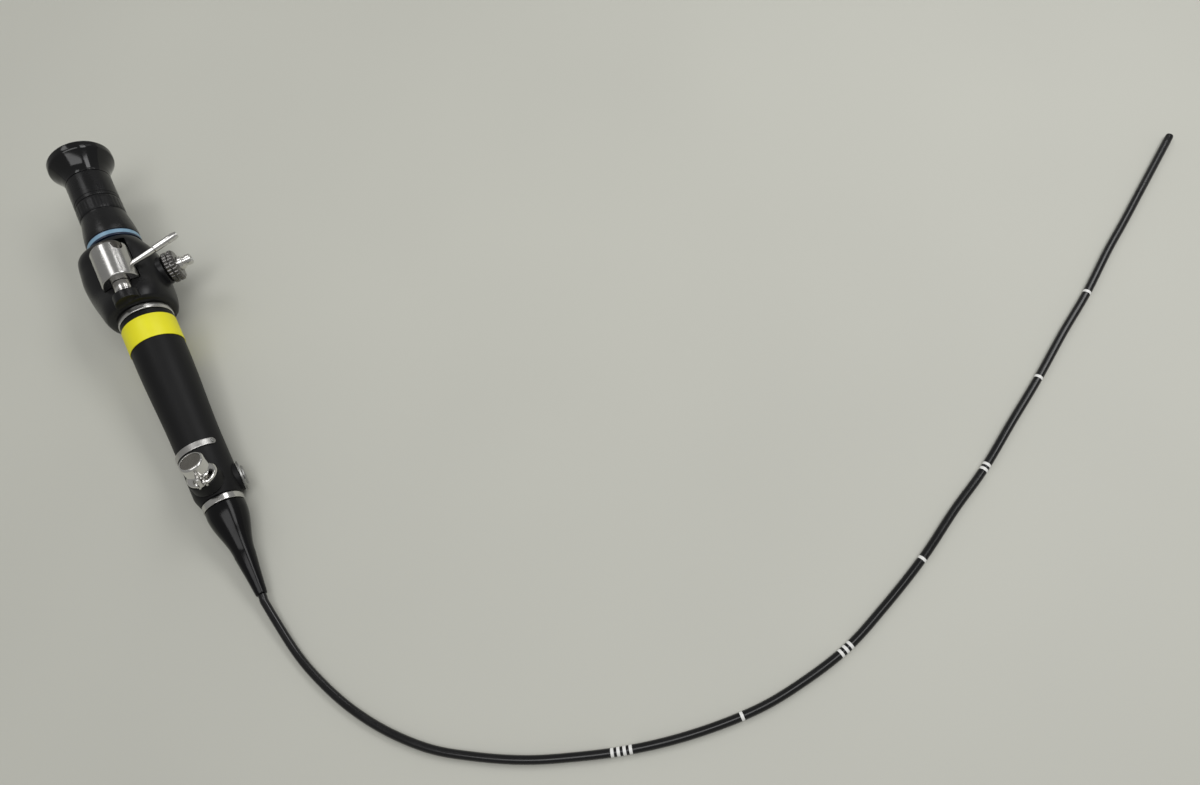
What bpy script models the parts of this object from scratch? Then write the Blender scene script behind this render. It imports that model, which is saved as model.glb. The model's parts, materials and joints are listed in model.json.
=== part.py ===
"""Flexible intubation endoscope: eyepiece, control housing, grip, ports and insertion tube.

The handle is drawn in its own frame: z runs along its axis towards the eyepiece with zero at
the middle of the clamp ring, x points to the light post, and y to the thumb lever at the back.
The handle then lies on the table on its grip's lower edge and its thumb pad, and the insertion
tube runs from the boot along the table to the bending section.
"""
import math

import bmesh
import bpy
from mathutils import Matrix, Vector

MM = 0.001
STEPS_LARGE = 28
STEPS_MEDIUM = 22
STEPS_SMALL = 14
STEPS_FINE = 10
STEPS_LINK = 14
STEPS_TONGUE = 6

# Clearances, and how far a cutter runs past what it cuts
GAP = 0.3 * MM
RUN = 0.35 * MM
SKIN_GAP = 0.12 * MM
BEYOND = 30 * MM

# Clamp ring between housing and grip
CLAMP_RING_RADIUS = 12.9 * MM
CLAMP_RING_HEIGHT = 3.0 * MM
SPIGOT_RADIUS = 10.4 * MM

# Control housing: height over its foot, then its reach to the right, left, front and back
HOUSING_SECTIONS = [
    (0.0 * MM, 14.2 * MM, 14.6 * MM, 15.2 * MM, 15.2 * MM),
    (1.2 * MM, 15.9 * MM, 16.2 * MM, 16.8 * MM, 16.6 * MM),
    (6.0 * MM, 17.1 * MM, 17.5 * MM, 17.2 * MM, 17.2 * MM),
    (16.0 * MM, 17.6 * MM, 19.6 * MM, 14.2 * MM, 17.2 * MM),
    (26.0 * MM, 17.8 * MM, 20.6 * MM, 13.8 * MM, 17.2 * MM),
    (32.0 * MM, 16.6 * MM, 20.2 * MM, 13.8 * MM, 16.6 * MM),
    (37.0 * MM, 14.4 * MM, 19.6 * MM, 14.2 * MM, 15.0 * MM),
    (40.2 * MM, 12.9 * MM, 18.2 * MM, 13.2 * MM, 13.6 * MM),
    (41.4 * MM, 12.2 * MM, 15.6 * MM, 12.4 * MM, 12.4 * MM),
]
HOUSING_POINTS = 36
HOUSING_SQUARENESS = 2.25
HOUSING_BORE = 4.5 * MM
STEM_BOSS_WALL = 2.2 * MM
STEM_BOSS_RISE = 0.7 * MM

# Eyepiece end, from the housing upwards
COLOUR_RING_RADIUS = 12.8 * MM
COLOUR_RING_HEIGHT = 3.6 * MM
COLLAR_RADIUS = 13.0 * MM
COLLAR_HEIGHT = 15.2 * MM
COLLAR_SHOULDER = 7.4 * MM
NECK_RADIUS = 11.0 * MM
DIOPTRE_RING_RADIUS = 11.3 * MM
DIOPTRE_RING_HEIGHT = 8.0 * MM
DIOPTRE_RIBS = 30
DIOPTRE_RIB_DEPTH = 0.35 * MM
BARREL_HEIGHT = 15.6 * MM
EYECUP_RADIUS = 15.9 * MM
EYECUP_HEIGHT = 15.2 * MM
EYECUP_RIM = 4.2 * MM
EYECUP_EDGE = 0.8 * MM
EYECUP_SEAT = 2.4 * MM
EYECUP_DEPTH = 4.6 * MM
EYECUP_MOUTH = 13.4 * MM
EYECUP_FLOOR = 8.6 * MM
OCULAR_RADIUS = 8.2 * MM
OCULAR_WALL = 1.0 * MM
OCULAR_SINK = 1.6 * MM
WINDOW_THICKNESS = 1.4 * MM
LENS_THICKNESS = 4.2 * MM
LENS_EDGE = 1.6 * MM
FERRULE_RADIUS = 3.0 * MM
FERRULE_LENGTH = 16.0 * MM
FERRULE_FLANGE_HEIGHT = 4.0 * MM

# Grip, label, bottom ring and boot, from the clamp ring downwards
GRIP_LENGTH = 100.7 * MM
GRIP_RADIUS = 12.5 * MM
GRIP_STRAIGHT = 19.0 * MM
GRIP_TAPER = 52.0 * MM
GRIP_WAIST_RADIUS = 11.0 * MM
GRIP_END_RADIUS = 9.5 * MM
GRIP_CHAMFER = 4.6 * MM
GRIP_WALL = 1.9 * MM
GRIP_FLANGE = 4.4 * MM
LABEL_TOP = 3.0 * MM
LABEL_WIDTH = 12.7 * MM
LABEL_THICKNESS = 0.25 * MM
BOTTOM_RING_RADIUS = 9.4 * MM
BOTTOM_RING_HEIGHT = 3.0 * MM
BOTTOM_RING_BORE = 6.4 * MM
BOOT_TOP_RADIUS = 9.1 * MM
BOOT_END_RADIUS = 2.5 * MM
BOOT_LENGTH = 44.4 * MM
CHASSIS_RADIUS = 4.2 * MM
CHASSIS_WALL = 0.8 * MM
CHASSIS_TOP = 12.0 * MM
COLLET_LENGTH = 5.4 * MM

# Insertion tube and what runs inside the handle
TUBE_RADIUS = 1.85 * MM
IMAGE_BUNDLE_RADIUS = 1.1 * MM
LIGHT_BUNDLE_RADIUS = 1.2 * MM
CHANNEL_RADIUS = 0.9 * MM
PULL_WIRE_RADIUS = 0.3 * MM
SUCTION_LINE_RADIUS = 0.9 * MM
SUCTION_LINE_RISE = 14.0 * MM
LIGHT_BUNDLE_DROP = 9.5 * MM
TUBE_LEAD = 12.0 * MM

# Suction valve on the front
VALVE_OFFSET = 15.0 * MM
VALVE_RADIUS = 8.8 * MM
VALVE_BOTTOM = 14.0 * MM
VALVE_HEIGHT = 19.2 * MM
VALVE_WALL = 1.5 * MM
VALVE_FLOOR = 2.0 * MM
VALVE_EAVE = 3.6 * MM
VALVE_NOTCH_WIDTH = 5.6 * MM
VALVE_NOTCH_DEPTH = 7.6 * MM
VALVE_NOTCH_TURN = math.radians(48)
VALVE_STROKE = 3.0 * MM
PISTON_PROUD = 2.4 * MM
PISTON_HEAD = 5.0 * MM
STEM_RADIUS = 4.3 * MM
STEM_BORE = 2.0 * MM
STEM_SOCKET = 4.4 * MM
NOZZLE_RING_HEIGHT = 2.7 * MM
NOZZLE_RING_DEPTH = 0.3 * MM
SPRING_RADIUS = 4.2 * MM
SPRING_WIRE = 0.35 * MM
SPRING_TURNS = 5
NOZZLE_HEIGHT = 7.6 * MM
NOZZLE_TILT = math.radians(10.8)
NOZZLE_NECK_RADIUS = 1.45 * MM
NOZZLE_NECK_LENGTH = 12.5 * MM
NOZZLE_BARB_RADIUS = 2.05 * MM
NOZZLE_BARB_LENGTH = 13.0 * MM
NOZZLE_BORE = 0.9 * MM

# Light post on the right
POST_HEIGHT = 21.0 * MM
POST_RADIUS = 3.4 * MM
POST_TIP_RADIUS = 2.7 * MM
POST_BORE = 1.5 * MM
POST_ROOT = 9.5 * MM
POST_TIP_LENGTH = 4.2 * MM
POST_REACH = 31.3 * MM
POST_BOSS_RADIUS = 7.4 * MM
POST_BOSS_REACH = 18.5 * MM
ADAPTER_RADIUS = 7.8 * MM
ADAPTER_LENGTH = 6.0 * MM
ADAPTER_TEETH = 24
ADAPTER_TOOTH = 0.45 * MM
POST_RIM = 0.7 * MM
POST_WINDOW_THICKNESS = 0.9 * MM

# Thumb lever at the back
LEVER_BACK = 10.3 * MM
LEVER_HEIGHT = 22.0 * MM
LEVER_TRAVEL = math.radians(32)
LEVER_THICKNESS = 3.4 * MM
LEVER_WIDTH = 5.0 * MM
LEVER_EYE_RADIUS = 4.2 * MM
AXLE_RADIUS = 1.5 * MM
AXLE_LENGTH = 17.0 * MM
WHEEL_RADIUS = 5.2 * MM
WHEEL_WIDTH = 2.6 * MM
WHEEL_GROOVE = 0.6 * MM
PAD_REACH = 14.6 * MM
PAD_THICKNESS = 2.4 * MM
PAD_HALF_WIDTH = 7.5 * MM
PAD_HALF_ANGLE = math.radians(17)
PAD_CROWN = 60.0 * MM
PAD_RIBS = 5
PAD_RIB_DEPTH = 0.45 * MM

# Channel port on the front of the lower grip, its height over the grip's lower end
PORT_RISE = 7.4 * MM
CHANNEL_LENGTH = 9.4 * MM
PORT_LEAN = math.radians(28)
PORT_BOSS_RADIUS = 7.4 * MM
PORT_BOSS_TOP = 3.6 * MM
PORT_FLANGE_RADIUS = 7.0 * MM
PORT_FLANGE_THICKNESS = 1.3 * MM
PORT_NECK_RADIUS = 3.0 * MM
PORT_NECK_HEIGHT = 5.4 * MM
PORT_ROOT_RADIUS = 3.4 * MM
PORT_ROOT_CLEARANCE = 2.2 * MM
PORT_BORE = 1.4 * MM
PORT_MOUTH = 2.1 * MM
PORT_LIP = 0.5 * MM
PORT_TAPER = 3.0 * MM
LID_RADIUS = 5.6 * MM
LID_HEIGHT = 5.0 * MM
LID_SKIRT = 2.2 * MM
LID_HINGE_REACH = 8.4 * MM
LID_HINGE_RADIUS = 1.3 * MM
LID_HINGE_PIN = 0.5 * MM
LID_ARM_WIDTH = 1.6 * MM
LID_HINGE_PLAY = 0.1 * MM
HINGE_EAR_WIDTH = 1.0 * MM
SEAL_THICKNESS = 1.2 * MM

# Retaining strap, its height over the port
STRAP_RISE = 18.1 * MM
STRAP_WIDTH = 3.0 * MM
STRAP_THICKNESS = 0.6 * MM
STRAP_LEFT = math.radians(-78)
STRAP_RIGHT = math.radians(46)
STRAP_STEPS = 16
STRAP_SCREW_RADIUS = 0.95 * MM
STRAP_SCREW_HEAD = 0.45 * MM
STRAP_SCREW_SHANK = 0.5 * MM
STRAP_SCREW_PLAY = 0.15 * MM
STRAP_SCREW_DEPTH = 1.0 * MM

# Vent valve on the right of the lower grip, its height over the grip's lower end
VENT_RISE = 7.9 * MM
VENT_TURN = math.radians(13)
VENT_FLANGE_RADIUS = 7.0 * MM
VENT_FLANGE_THICKNESS = 0.9 * MM
VENT_BOSS_RADIUS = 6.6 * MM
VENT_BOSS_RISE = 0.2 * MM
VENT_CAP_RADIUS = 4.6 * MM
VENT_CAP_THICKNESS = 1.0 * MM
VENT_STEM_RADIUS = 2.2 * MM
VENT_STEM_LENGTH = 4.0 * MM
VENT_SLOT_WIDTH = 1.1 * MM
VENT_SLOT_DEPTH = 0.6 * MM

# Bending section: links riveted one behind the other, under a rubber cover
LINK_COUNT = 7
LINK_PITCH = 4.0 * MM
LINK_OUTER = 1.25 * MM
LINK_INNER = 0.95 * MM
EAR_OUTER = 1.5 * MM
EAR_INNER = 1.33 * MM
EAR_HALF_WIDTH = 0.55 * MM
EAR_ROOT = 1.7 * MM
EAR_JOGGLE = 0.8 * MM
RIVET_RADIUS = 0.2 * MM
RIVET_PLAY = 0.1 * MM
LINK_CREST = 0.65 * MM
LINK_SLOPE = math.radians(12)
BASE_LENGTH = 3.5 * MM
COVER_RADIUS = 1.85 * MM
COVER_WALL = 0.25 * MM
TIP_RADIUS = 1.8 * MM
TIP_LENGTH = 7.0 * MM
TIP_SHOULDER = 2.3 * MM
TIP_EDGE = 0.35 * MM
TIP_LENS_RADIUS = 0.55 * MM
TIP_LIGHT_RADIUS = 0.38 * MM
TIP_CHANNEL_RADIUS = 0.6 * MM
TIP_GLASS_DEPTH = 0.7 * MM
CORE_RADIUS = 0.6 * MM

# Where it lies: the boot's mouth, the handle's heading, and the tube's route over the table
BOOT_MOUTH = Vector((64.9 * MM, -113.6 * MM))
HANDLE_HEADING = math.radians(118.2)
HANDLE_ROLL = math.radians(3)
TUBE_ROUTE = [
    (82.5, -138.1, 2.10), (95.3, -150.7, 1.88), (110.0, -161.9, 1.85), (126.6, -171.1, 1.85),
    (144.9, -177.8, 1.85), (163.0, -180.8, 1.85), (182.0, -182.2, 1.85), (199.9, -181.6, 1.85),
    (225.1, -178.9, 1.85), (250.1, -173.5, 1.85), (275.1, -165.0, 1.85), (293.7, -155.4, 1.85),
    (314.6, -141.1, 1.85), (331.8, -124.4, 1.85), (349.7, -104.7, 1.85), (365.5, -84.4, 1.85),
    (380.0, -67.1, 1.85), (395.0, -46.1, 1.85), (409.5, -26.0, 1.85), (424.1, -4.3, 1.85),
    (438.0, 15.2, 1.85), (451.7, 36.9, 1.85), (462.1, 52.2, 1.85), (471.8, 66.9, 1.85),
]
TUBE_STEPS = 72


def collection(name):
    made = bpy.data.collections.new(name)
    bpy.context.scene.collection.children.link(made)
    return made


def clear_scene():
    for old in list(bpy.data.objects):
        bpy.data.objects.remove(old, do_unlink=True)


clear_scene()
PARTS = collection("flexible_endoscope")
CUTTERS = collection("cutters")


def finish(name, colour, roughness, metallic=0.0):
    """A plain Principled material in the piece's own colour."""
    made = bpy.data.materials.new(name)
    made.use_nodes = True
    shader = made.node_tree.nodes["Principled BSDF"]
    shader.inputs["Base Color"].default_value = (*colour, 1.0)
    shader.inputs["Roughness"].default_value = roughness
    shader.inputs["Metallic"].default_value = metallic
    return made


BLACK = ((0.012, 0.012, 0.013), 0.42)
SATIN_BLACK = ((0.02, 0.02, 0.021), 0.55)
GLOSS_BLACK = ((0.008, 0.008, 0.009), 0.18)
RUBBER = ((0.015, 0.015, 0.016), 0.7)
STEEL = ((0.62, 0.61, 0.59), 0.22, 1.0)
DULL_STEEL = ((0.45, 0.45, 0.44), 0.38, 1.0)
BRASS = ((0.75, 0.58, 0.3), 0.35, 1.0)
GLASS = ((0.75, 0.8, 0.82), 0.05)
LIGHT_BLUE = ((0.25, 0.5, 0.72), 0.4)
YELLOW = ((0.85, 0.78, 0.02), 0.6)
FIBRE = ((0.5, 0.42, 0.25), 0.6)


def frame(name, parent=None, at=(0, 0, 0), turn=(0, 0, 0)):
    """An empty that carries pieces: a sub-assembly's frame or a joint's axis."""
    made = bpy.data.objects.new(name, None)
    made.empty_display_size = 5 * MM
    made.parent = parent
    made.location = at
    made.rotation_euler = turn
    PARTS.objects.link(made)
    return made


def put(name, mesh, look, parent, at=(0, 0, 0), turn=(0, 0, 0)):
    """Place a mesh as a piece, or as a cutter where it has no look."""
    made = bpy.data.objects.new(name, mesh)
    made.parent = parent
    made.location = at
    made.rotation_euler = turn
    if look is None:
        CUTTERS.objects.link(made)
        made.hide_render = True
        made.display_type = 'WIRE'
    else:
        PARTS.objects.link(made)
        mesh.materials.append(finish(name, *look))
    return made


def turned(name, profile, look, parent, steps=STEPS_MEDIUM, closed=False, **place):
    """Turn a profile of (radius, height), listed down its outer side, about local z."""
    mesh = bpy.data.meshes.new(name)
    rows = [(radius, 0, height) for radius, height in profile]
    edges = [(i, i + 1) for i in range(len(rows) - 1)]
    if closed:
        edges.append((len(rows) - 1, 0))
    mesh.from_pydata(rows, edges, [])
    made = put(name, mesh, look, parent, **place)
    screw = made.modifiers.new("turn", 'SCREW')
    screw.axis = 'Z'
    screw.steps = screw.render_steps = round(steps)
    screw.use_merge_vertices = True
    screw.merge_threshold = 0.002 * MM
    screw.use_smooth_shade = True
    return made


def tube(name, outer, inner, low, high, look, parent, steps=STEPS_MEDIUM, **place):
    profile = [(outer, high), (outer, low), (inner, low), (inner, high)]
    return turned(name, profile, look, parent, steps, closed=True, **place)


def rod(name, radius, low, high, look, parent, steps=STEPS_SMALL, **place):
    profile = [(0, high), (radius, high), (radius, low), (0, low)]
    return turned(name, profile, look, parent, steps, **place)


def box(name, low, high, look, parent, **place):
    """A box between two corners of the local frame."""
    bm = bmesh.new()
    bmesh.ops.create_cube(bm, size=1)
    size = [b - a for a, b in zip(low, high)]
    middle = [(a + b) / 2 for a, b in zip(low, high)]
    bmesh.ops.scale(bm, vec=size, verts=bm.verts)
    bmesh.ops.translate(bm, vec=middle, verts=bm.verts)
    mesh = bpy.data.meshes.new(name)
    bm.to_mesh(mesh)
    bm.free()
    return put(name, mesh, look, parent, **place)


def lofted(name, rings, look, parent, **place):
    """Skin closed rings of equal count and cap both ends."""
    bm = bmesh.new()
    loops = [[bm.verts.new(point) for point in ring] for ring in rings]
    count = len(loops[0])
    for low, high in zip(loops, loops[1:]):
        for i in range(count):
            bm.faces.new((low[i], low[(i + 1) % count], high[(i + 1) % count], high[i]))
    bm.faces.new(loops[0])
    bm.faces.new(loops[-1])
    bmesh.ops.recalc_face_normals(bm, faces=bm.faces)
    mesh = bpy.data.meshes.new(name)
    bm.to_mesh(mesh)
    bm.free()
    return put(name, mesh, look, parent, **place)


def plate(name, outline, low, high, look, parent, **place):
    """A flat outline of (x, y) points raised from one height to another."""
    rings = [[(x, y, height) for x, y in outline] for height in (low, high)]
    return lofted(name, rings, look, parent, **place)


def wire(name, points, radius, look, parent, resolution=2):
    """A round wire or tube along points, kept as a curve with filled caps."""
    curve = bpy.data.curves.new(name, 'CURVE')
    curve.dimensions = '3D'
    curve.bevel_depth = radius
    curve.bevel_resolution = resolution
    curve.use_fill_caps = True
    spline = curve.splines.new('POLY')
    spline.points.add(len(points) - 1)
    for spot, point in zip(spline.points, points):
        spot.co = (*point, 1)
    made = bpy.data.objects.new(name, curve)
    made.parent = parent
    PARTS.objects.link(made)
    curve.materials.append(finish(name, *look))
    return made


def passage(name, points, radius, parent):
    """A cutter along a line of points, made a mesh so that it can cut."""
    guide = wire(name + "_guide", points, radius, BLACK, parent, 1)
    seen = guide.evaluated_get(bpy.context.evaluated_depsgraph_get())
    mesh = bpy.data.meshes.new_from_object(seen)
    bm = bmesh.new()
    bm.from_mesh(mesh)
    bmesh.ops.remove_doubles(bm, verts=bm.verts, dist=0.001 * MM)
    bmesh.ops.recalc_face_normals(bm, faces=bm.faces)
    bm.to_mesh(mesh)
    bm.free()
    bpy.data.objects.remove(guide, do_unlink=True)
    return put(name, mesh, None, parent)


def join(piece, other, how, solver='EXACT'):
    step = piece.modifiers.new(how.lower() + "_" + other.name, 'BOOLEAN')
    step.operation = how
    step.solver = solver
    step.object = other
    return piece


def cut(piece, *cutters, solver='EXACT'):
    for cutter in cutters:
        join(piece, cutter, 'DIFFERENCE', solver)
    return piece


def fuse(piece, *others, solver='EXACT'):
    for other in others:
        join(piece, other, 'UNION', solver)
    return piece


def smooth_line(points, count):
    """Points at even steps along a smooth curve through the given points."""
    spots = [Vector(point) for point in points]
    ends = [2 * spots[0] - spots[1], *spots, 2 * spots[-1] - spots[-2]]
    fine = []
    for a, b, c, d in zip(ends, ends[1:], ends[2:], ends[3:]):
        for step in range(24):
            t = step / 24
            fine.append(0.5 * (2 * b + (c - a) * t + (2 * a - 5 * b + 4 * c - d) * t * t
                               + (3 * b - a - 3 * c + d) * t ** 3))
    fine.append(spots[-1])
    reach = [0.0]
    for a, b in zip(fine, fine[1:]):
        reach.append(reach[-1] + (b - a).length)
    line, at = [], 0
    for i in range(count):
        want = reach[-1] * i / (count - 1)
        while at < len(fine) - 2 and reach[at + 1] < want:
            at += 1
        share = (want - reach[at]) / (reach[at + 1] - reach[at])
        line.append(fine[at].lerp(fine[at + 1], min(max(share, 0), 1)))
    return line


def ease(t):
    return t * t * (3 - 2 * t)


# Stations along the handle axis that several pieces share
HOUSING_FOOT = CLAMP_RING_HEIGHT / 2 + GAP
HOUSING_TOP = HOUSING_FOOT + HOUSING_SECTIONS[-1][0]
COLOUR_RING_LOW = HOUSING_TOP + GAP
COLLAR_LOW = COLOUR_RING_LOW + COLOUR_RING_HEIGHT + GAP
DIOPTRE_LOW = COLLAR_LOW + COLLAR_HEIGHT + GAP
BARREL_LOW = DIOPTRE_LOW + DIOPTRE_RING_HEIGHT + GAP
EYECUP_LOW = BARREL_LOW + BARREL_HEIGHT + GAP
EYECUP_TOP = EYECUP_LOW + EYECUP_HEIGHT
GRIP_TOP = -CLAMP_RING_HEIGHT / 2 - GAP
GRIP_LOW = GRIP_TOP - GRIP_LENGTH
GRIP_EDGE = GRIP_LOW + GRIP_CHAMFER
RING_TOP = GRIP_LOW - GAP
RING_LOW = RING_TOP - BOTTOM_RING_HEIGHT
BOOT_TOP = RING_LOW - GAP
BOOT_LOW = BOOT_TOP - BOOT_LENGTH
COLLET_TOP = GRIP_LOW + GAP + COLLET_LENGTH
CHASSIS_LOW = COLLET_TOP + GAP
CHASSIS_BORE = CHASSIS_RADIUS - CHASSIS_WALL
OCULAR_BORE = OCULAR_RADIUS - OCULAR_WALL
OCULAR_LOW = HOUSING_TOP - OCULAR_SINK
EYECUP_FLOOR_HEIGHT = EYECUP_TOP - EYECUP_DEPTH
PORT_HEIGHT = -GRIP_LOW - PORT_RISE
STRAP_HEIGHT = PORT_HEIGHT - STRAP_RISE
VENT_HEIGHT = -GRIP_LOW - VENT_RISE
VENT_BOSS_REACH = GRIP_WAIST_RADIUS + VENT_BOSS_RISE
VALVE_TOP = VALVE_BOTTOM + VALVE_HEIGHT
VALVE_BORE = VALVE_RADIUS - VALVE_WALL
STEM_LOW = HOUSING_FOOT + STEM_SOCKET
PORT_SEAT = GRIP_WAIST_RADIUS
PORT_ROOT_DEPTH = PORT_SEAT - CHASSIS_RADIUS - PORT_ROOT_CLEARANCE


def resting_tilt():
    """The handle's rise when its grip's lower edge and its thumb lever touch the table."""
    across = GRIP_WAIST_RADIUS - LEVER_BACK
    along = LEVER_HEIGHT - GRIP_EDGE
    span = math.hypot(across, along)
    return math.asin(PAD_REACH / span) - math.atan2(across, along)


TILT = resting_tilt()
AXIS_HEIGHT = GRIP_WAIST_RADIUS * math.cos(TILT) - GRIP_EDGE * math.sin(TILT)
MOUTH_HEIGHT = AXIS_HEIGHT + BOOT_LOW * math.sin(TILT)


def handle_frame():
    """The handle's frame in its resting place, with the boot's mouth over its given spot."""
    level = math.cos(TILT)
    heading = Vector((math.cos(HANDLE_HEADING), math.sin(HANDLE_HEADING)))
    along = Vector((*(heading * level), math.sin(TILT)))
    level_right = Vector((heading.y, -heading.x, 0))
    right = Matrix.Rotation(HANDLE_ROLL, 3, along) @ level_right
    back = along.cross(right)
    middle = Vector((*(BOOT_MOUTH - heading * level * BOOT_LOW), AXIS_HEIGHT))
    made = frame("handle_frame")
    turn = Matrix((right, back, along)).transposed().to_4x4()
    made.matrix_world = Matrix.Translation(middle) @ turn
    return made, along


HANDLE, HANDLE_AXIS = handle_frame()


def eyepiece_end():
    turned("eyecup", [
        (EYECUP_MOUTH, EYECUP_TOP),
        (EYECUP_RADIUS - EYECUP_EDGE, EYECUP_TOP),
        (EYECUP_RADIUS, EYECUP_TOP - EYECUP_EDGE),
        (EYECUP_RADIUS, EYECUP_TOP - EYECUP_RIM),
        (EYECUP_RADIUS - 0.9 * MM, EYECUP_TOP - EYECUP_RIM - 1.3 * MM),
        (NECK_RADIUS + 2.4 * MM, EYECUP_TOP - EYECUP_RIM - 3.8 * MM),
        (NECK_RADIUS + 0.8 * MM, EYECUP_TOP - EYECUP_RIM - 6.6 * MM),
        (NECK_RADIUS, EYECUP_LOW + 1.0 * MM),
        (NECK_RADIUS, EYECUP_LOW),
        (OCULAR_RADIUS + GAP, EYECUP_LOW),
        (OCULAR_RADIUS + GAP, EYECUP_FLOOR_HEIGHT - EYECUP_SEAT),
        (EYECUP_FLOOR - 1.8 * MM, EYECUP_FLOOR_HEIGHT - EYECUP_SEAT),
        (EYECUP_FLOOR - 1.8 * MM, EYECUP_FLOOR_HEIGHT),
        (EYECUP_FLOOR, EYECUP_FLOOR_HEIGHT),
        (EYECUP_MOUTH - 1.2 * MM, EYECUP_TOP - 1.6 * MM),
    ], SATIN_BLACK, HANDLE, STEPS_LARGE, closed=True)
    tube("eyepiece_barrel", NECK_RADIUS, OCULAR_RADIUS + GAP, BARREL_LOW,
         BARREL_LOW + BARREL_HEIGHT, BLACK, HANDLE, STEPS_LARGE)
    ribbed_ring("dioptre_ring", DIOPTRE_RING_RADIUS, DIOPTRE_RIB_DEPTH, DIOPTRE_RIBS,
                DIOPTRE_RING_HEIGHT, OCULAR_RADIUS + RUN, SATIN_BLACK, HANDLE,
                at=(0, 0, DIOPTRE_LOW))
    turned("dioptre_collar", [
        (NECK_RADIUS, COLLAR_LOW + COLLAR_HEIGHT),
        (NECK_RADIUS, COLLAR_LOW + COLLAR_HEIGHT - 0.6 * MM),
        (COLLAR_RADIUS - 0.5 * MM, COLLAR_LOW + COLLAR_HEIGHT - COLLAR_SHOULDER),
        (COLLAR_RADIUS, COLLAR_LOW + COLLAR_HEIGHT - COLLAR_SHOULDER - 1.6 * MM),
        (COLLAR_RADIUS, COLLAR_LOW + 2.0 * MM),
        (COLOUR_RING_RADIUS, COLLAR_LOW),
        (OCULAR_RADIUS + GAP, COLLAR_LOW),
        (OCULAR_RADIUS + GAP, COLLAR_LOW + COLLAR_HEIGHT),
    ], BLACK, HANDLE, STEPS_LARGE, closed=True)
    tube("colour_ring", COLOUR_RING_RADIUS, OCULAR_RADIUS + GAP, COLOUR_RING_LOW,
         COLOUR_RING_LOW + COLOUR_RING_HEIGHT, LIGHT_BLUE, HANDLE, STEPS_LARGE)
    ocular_top = EYECUP_FLOOR_HEIGHT - EYECUP_SEAT - GAP
    tube("ocular_tube", OCULAR_RADIUS, OCULAR_BORE, OCULAR_LOW, ocular_top, DULL_STEEL, HANDLE)
    lens_radius = OCULAR_BORE - GAP
    window_top = ocular_top - 0.4 * MM
    rod("eyepiece_window", lens_radius, window_top - WINDOW_THICKNESS, window_top, GLASS,
        HANDLE, STEPS_MEDIUM)
    lens_middle = window_top - WINDOW_THICKNESS - GAP - LENS_THICKNESS / 2
    bulge = (LENS_THICKNESS - LENS_EDGE) / 2
    upper = [(lens_radius * i / 5, lens_middle + LENS_EDGE / 2 + bulge * (1 - (i / 5) ** 2))
             for i in range(6)]
    lower = [(radius, 2 * lens_middle - height) for radius, height in reversed(upper)]
    turned("ocular_lens", upper + lower, GLASS, HANDLE, STEPS_SMALL)
    ferrule_top = DIOPTRE_LOW
    flange_top = ferrule_top - FERRULE_FLANGE_HEIGHT
    turned("image_guide_ferrule", [
        (0, ferrule_top),
        (FERRULE_RADIUS, ferrule_top),
        (FERRULE_RADIUS, flange_top),
        (lens_radius, flange_top),
        (lens_radius, flange_top - FERRULE_FLANGE_HEIGHT),
        (FERRULE_RADIUS, flange_top - FERRULE_FLANGE_HEIGHT),
        (FERRULE_RADIUS, ferrule_top - FERRULE_LENGTH),
        (0, ferrule_top - FERRULE_LENGTH),
    ], BRASS, HANDLE)
    return ferrule_top - FERRULE_LENGTH


def ribbed_ring(name, radius, depth, ribs, height, bore, look, parent, **place):
    """A ring with ribs along its outside and plain, slightly smaller ends."""
    count = 2 * ribs
    edge = 2 * depth

    def ring(level, crest, root):
        return [((crest if i % 2 else root) * math.cos(2 * math.pi * i / count),
                 (crest if i % 2 else root) * math.sin(2 * math.pi * i / count), level)
                for i in range(count)]

    low = radius - edge
    rings = [ring(0, low, low), ring(edge, radius, radius - depth),
             ring(height - edge, radius, radius - depth), ring(height, low, low)]
    made = lofted(name, rings, look, parent, **place)
    hole = rod(name + "_bore", bore, -height, 2 * height, None, parent, STEPS_MEDIUM, **place)
    return cut(made, hole)


def housing_ring(section):
    height, right, left, front, back = section
    points = []
    for i in range(HOUSING_POINTS):
        angle = 2 * math.pi * i / HOUSING_POINTS
        c, s = math.cos(angle), math.sin(angle)
        x = math.copysign(abs(c) ** (2 / HOUSING_SQUARENESS), c) * (right if c > 0 else left)
        y = math.copysign(abs(s) ** (2 / HOUSING_SQUARENESS), s) * (back if s > 0 else front)
        points.append((x, y, HOUSING_FOOT + height))
    return points


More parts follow.
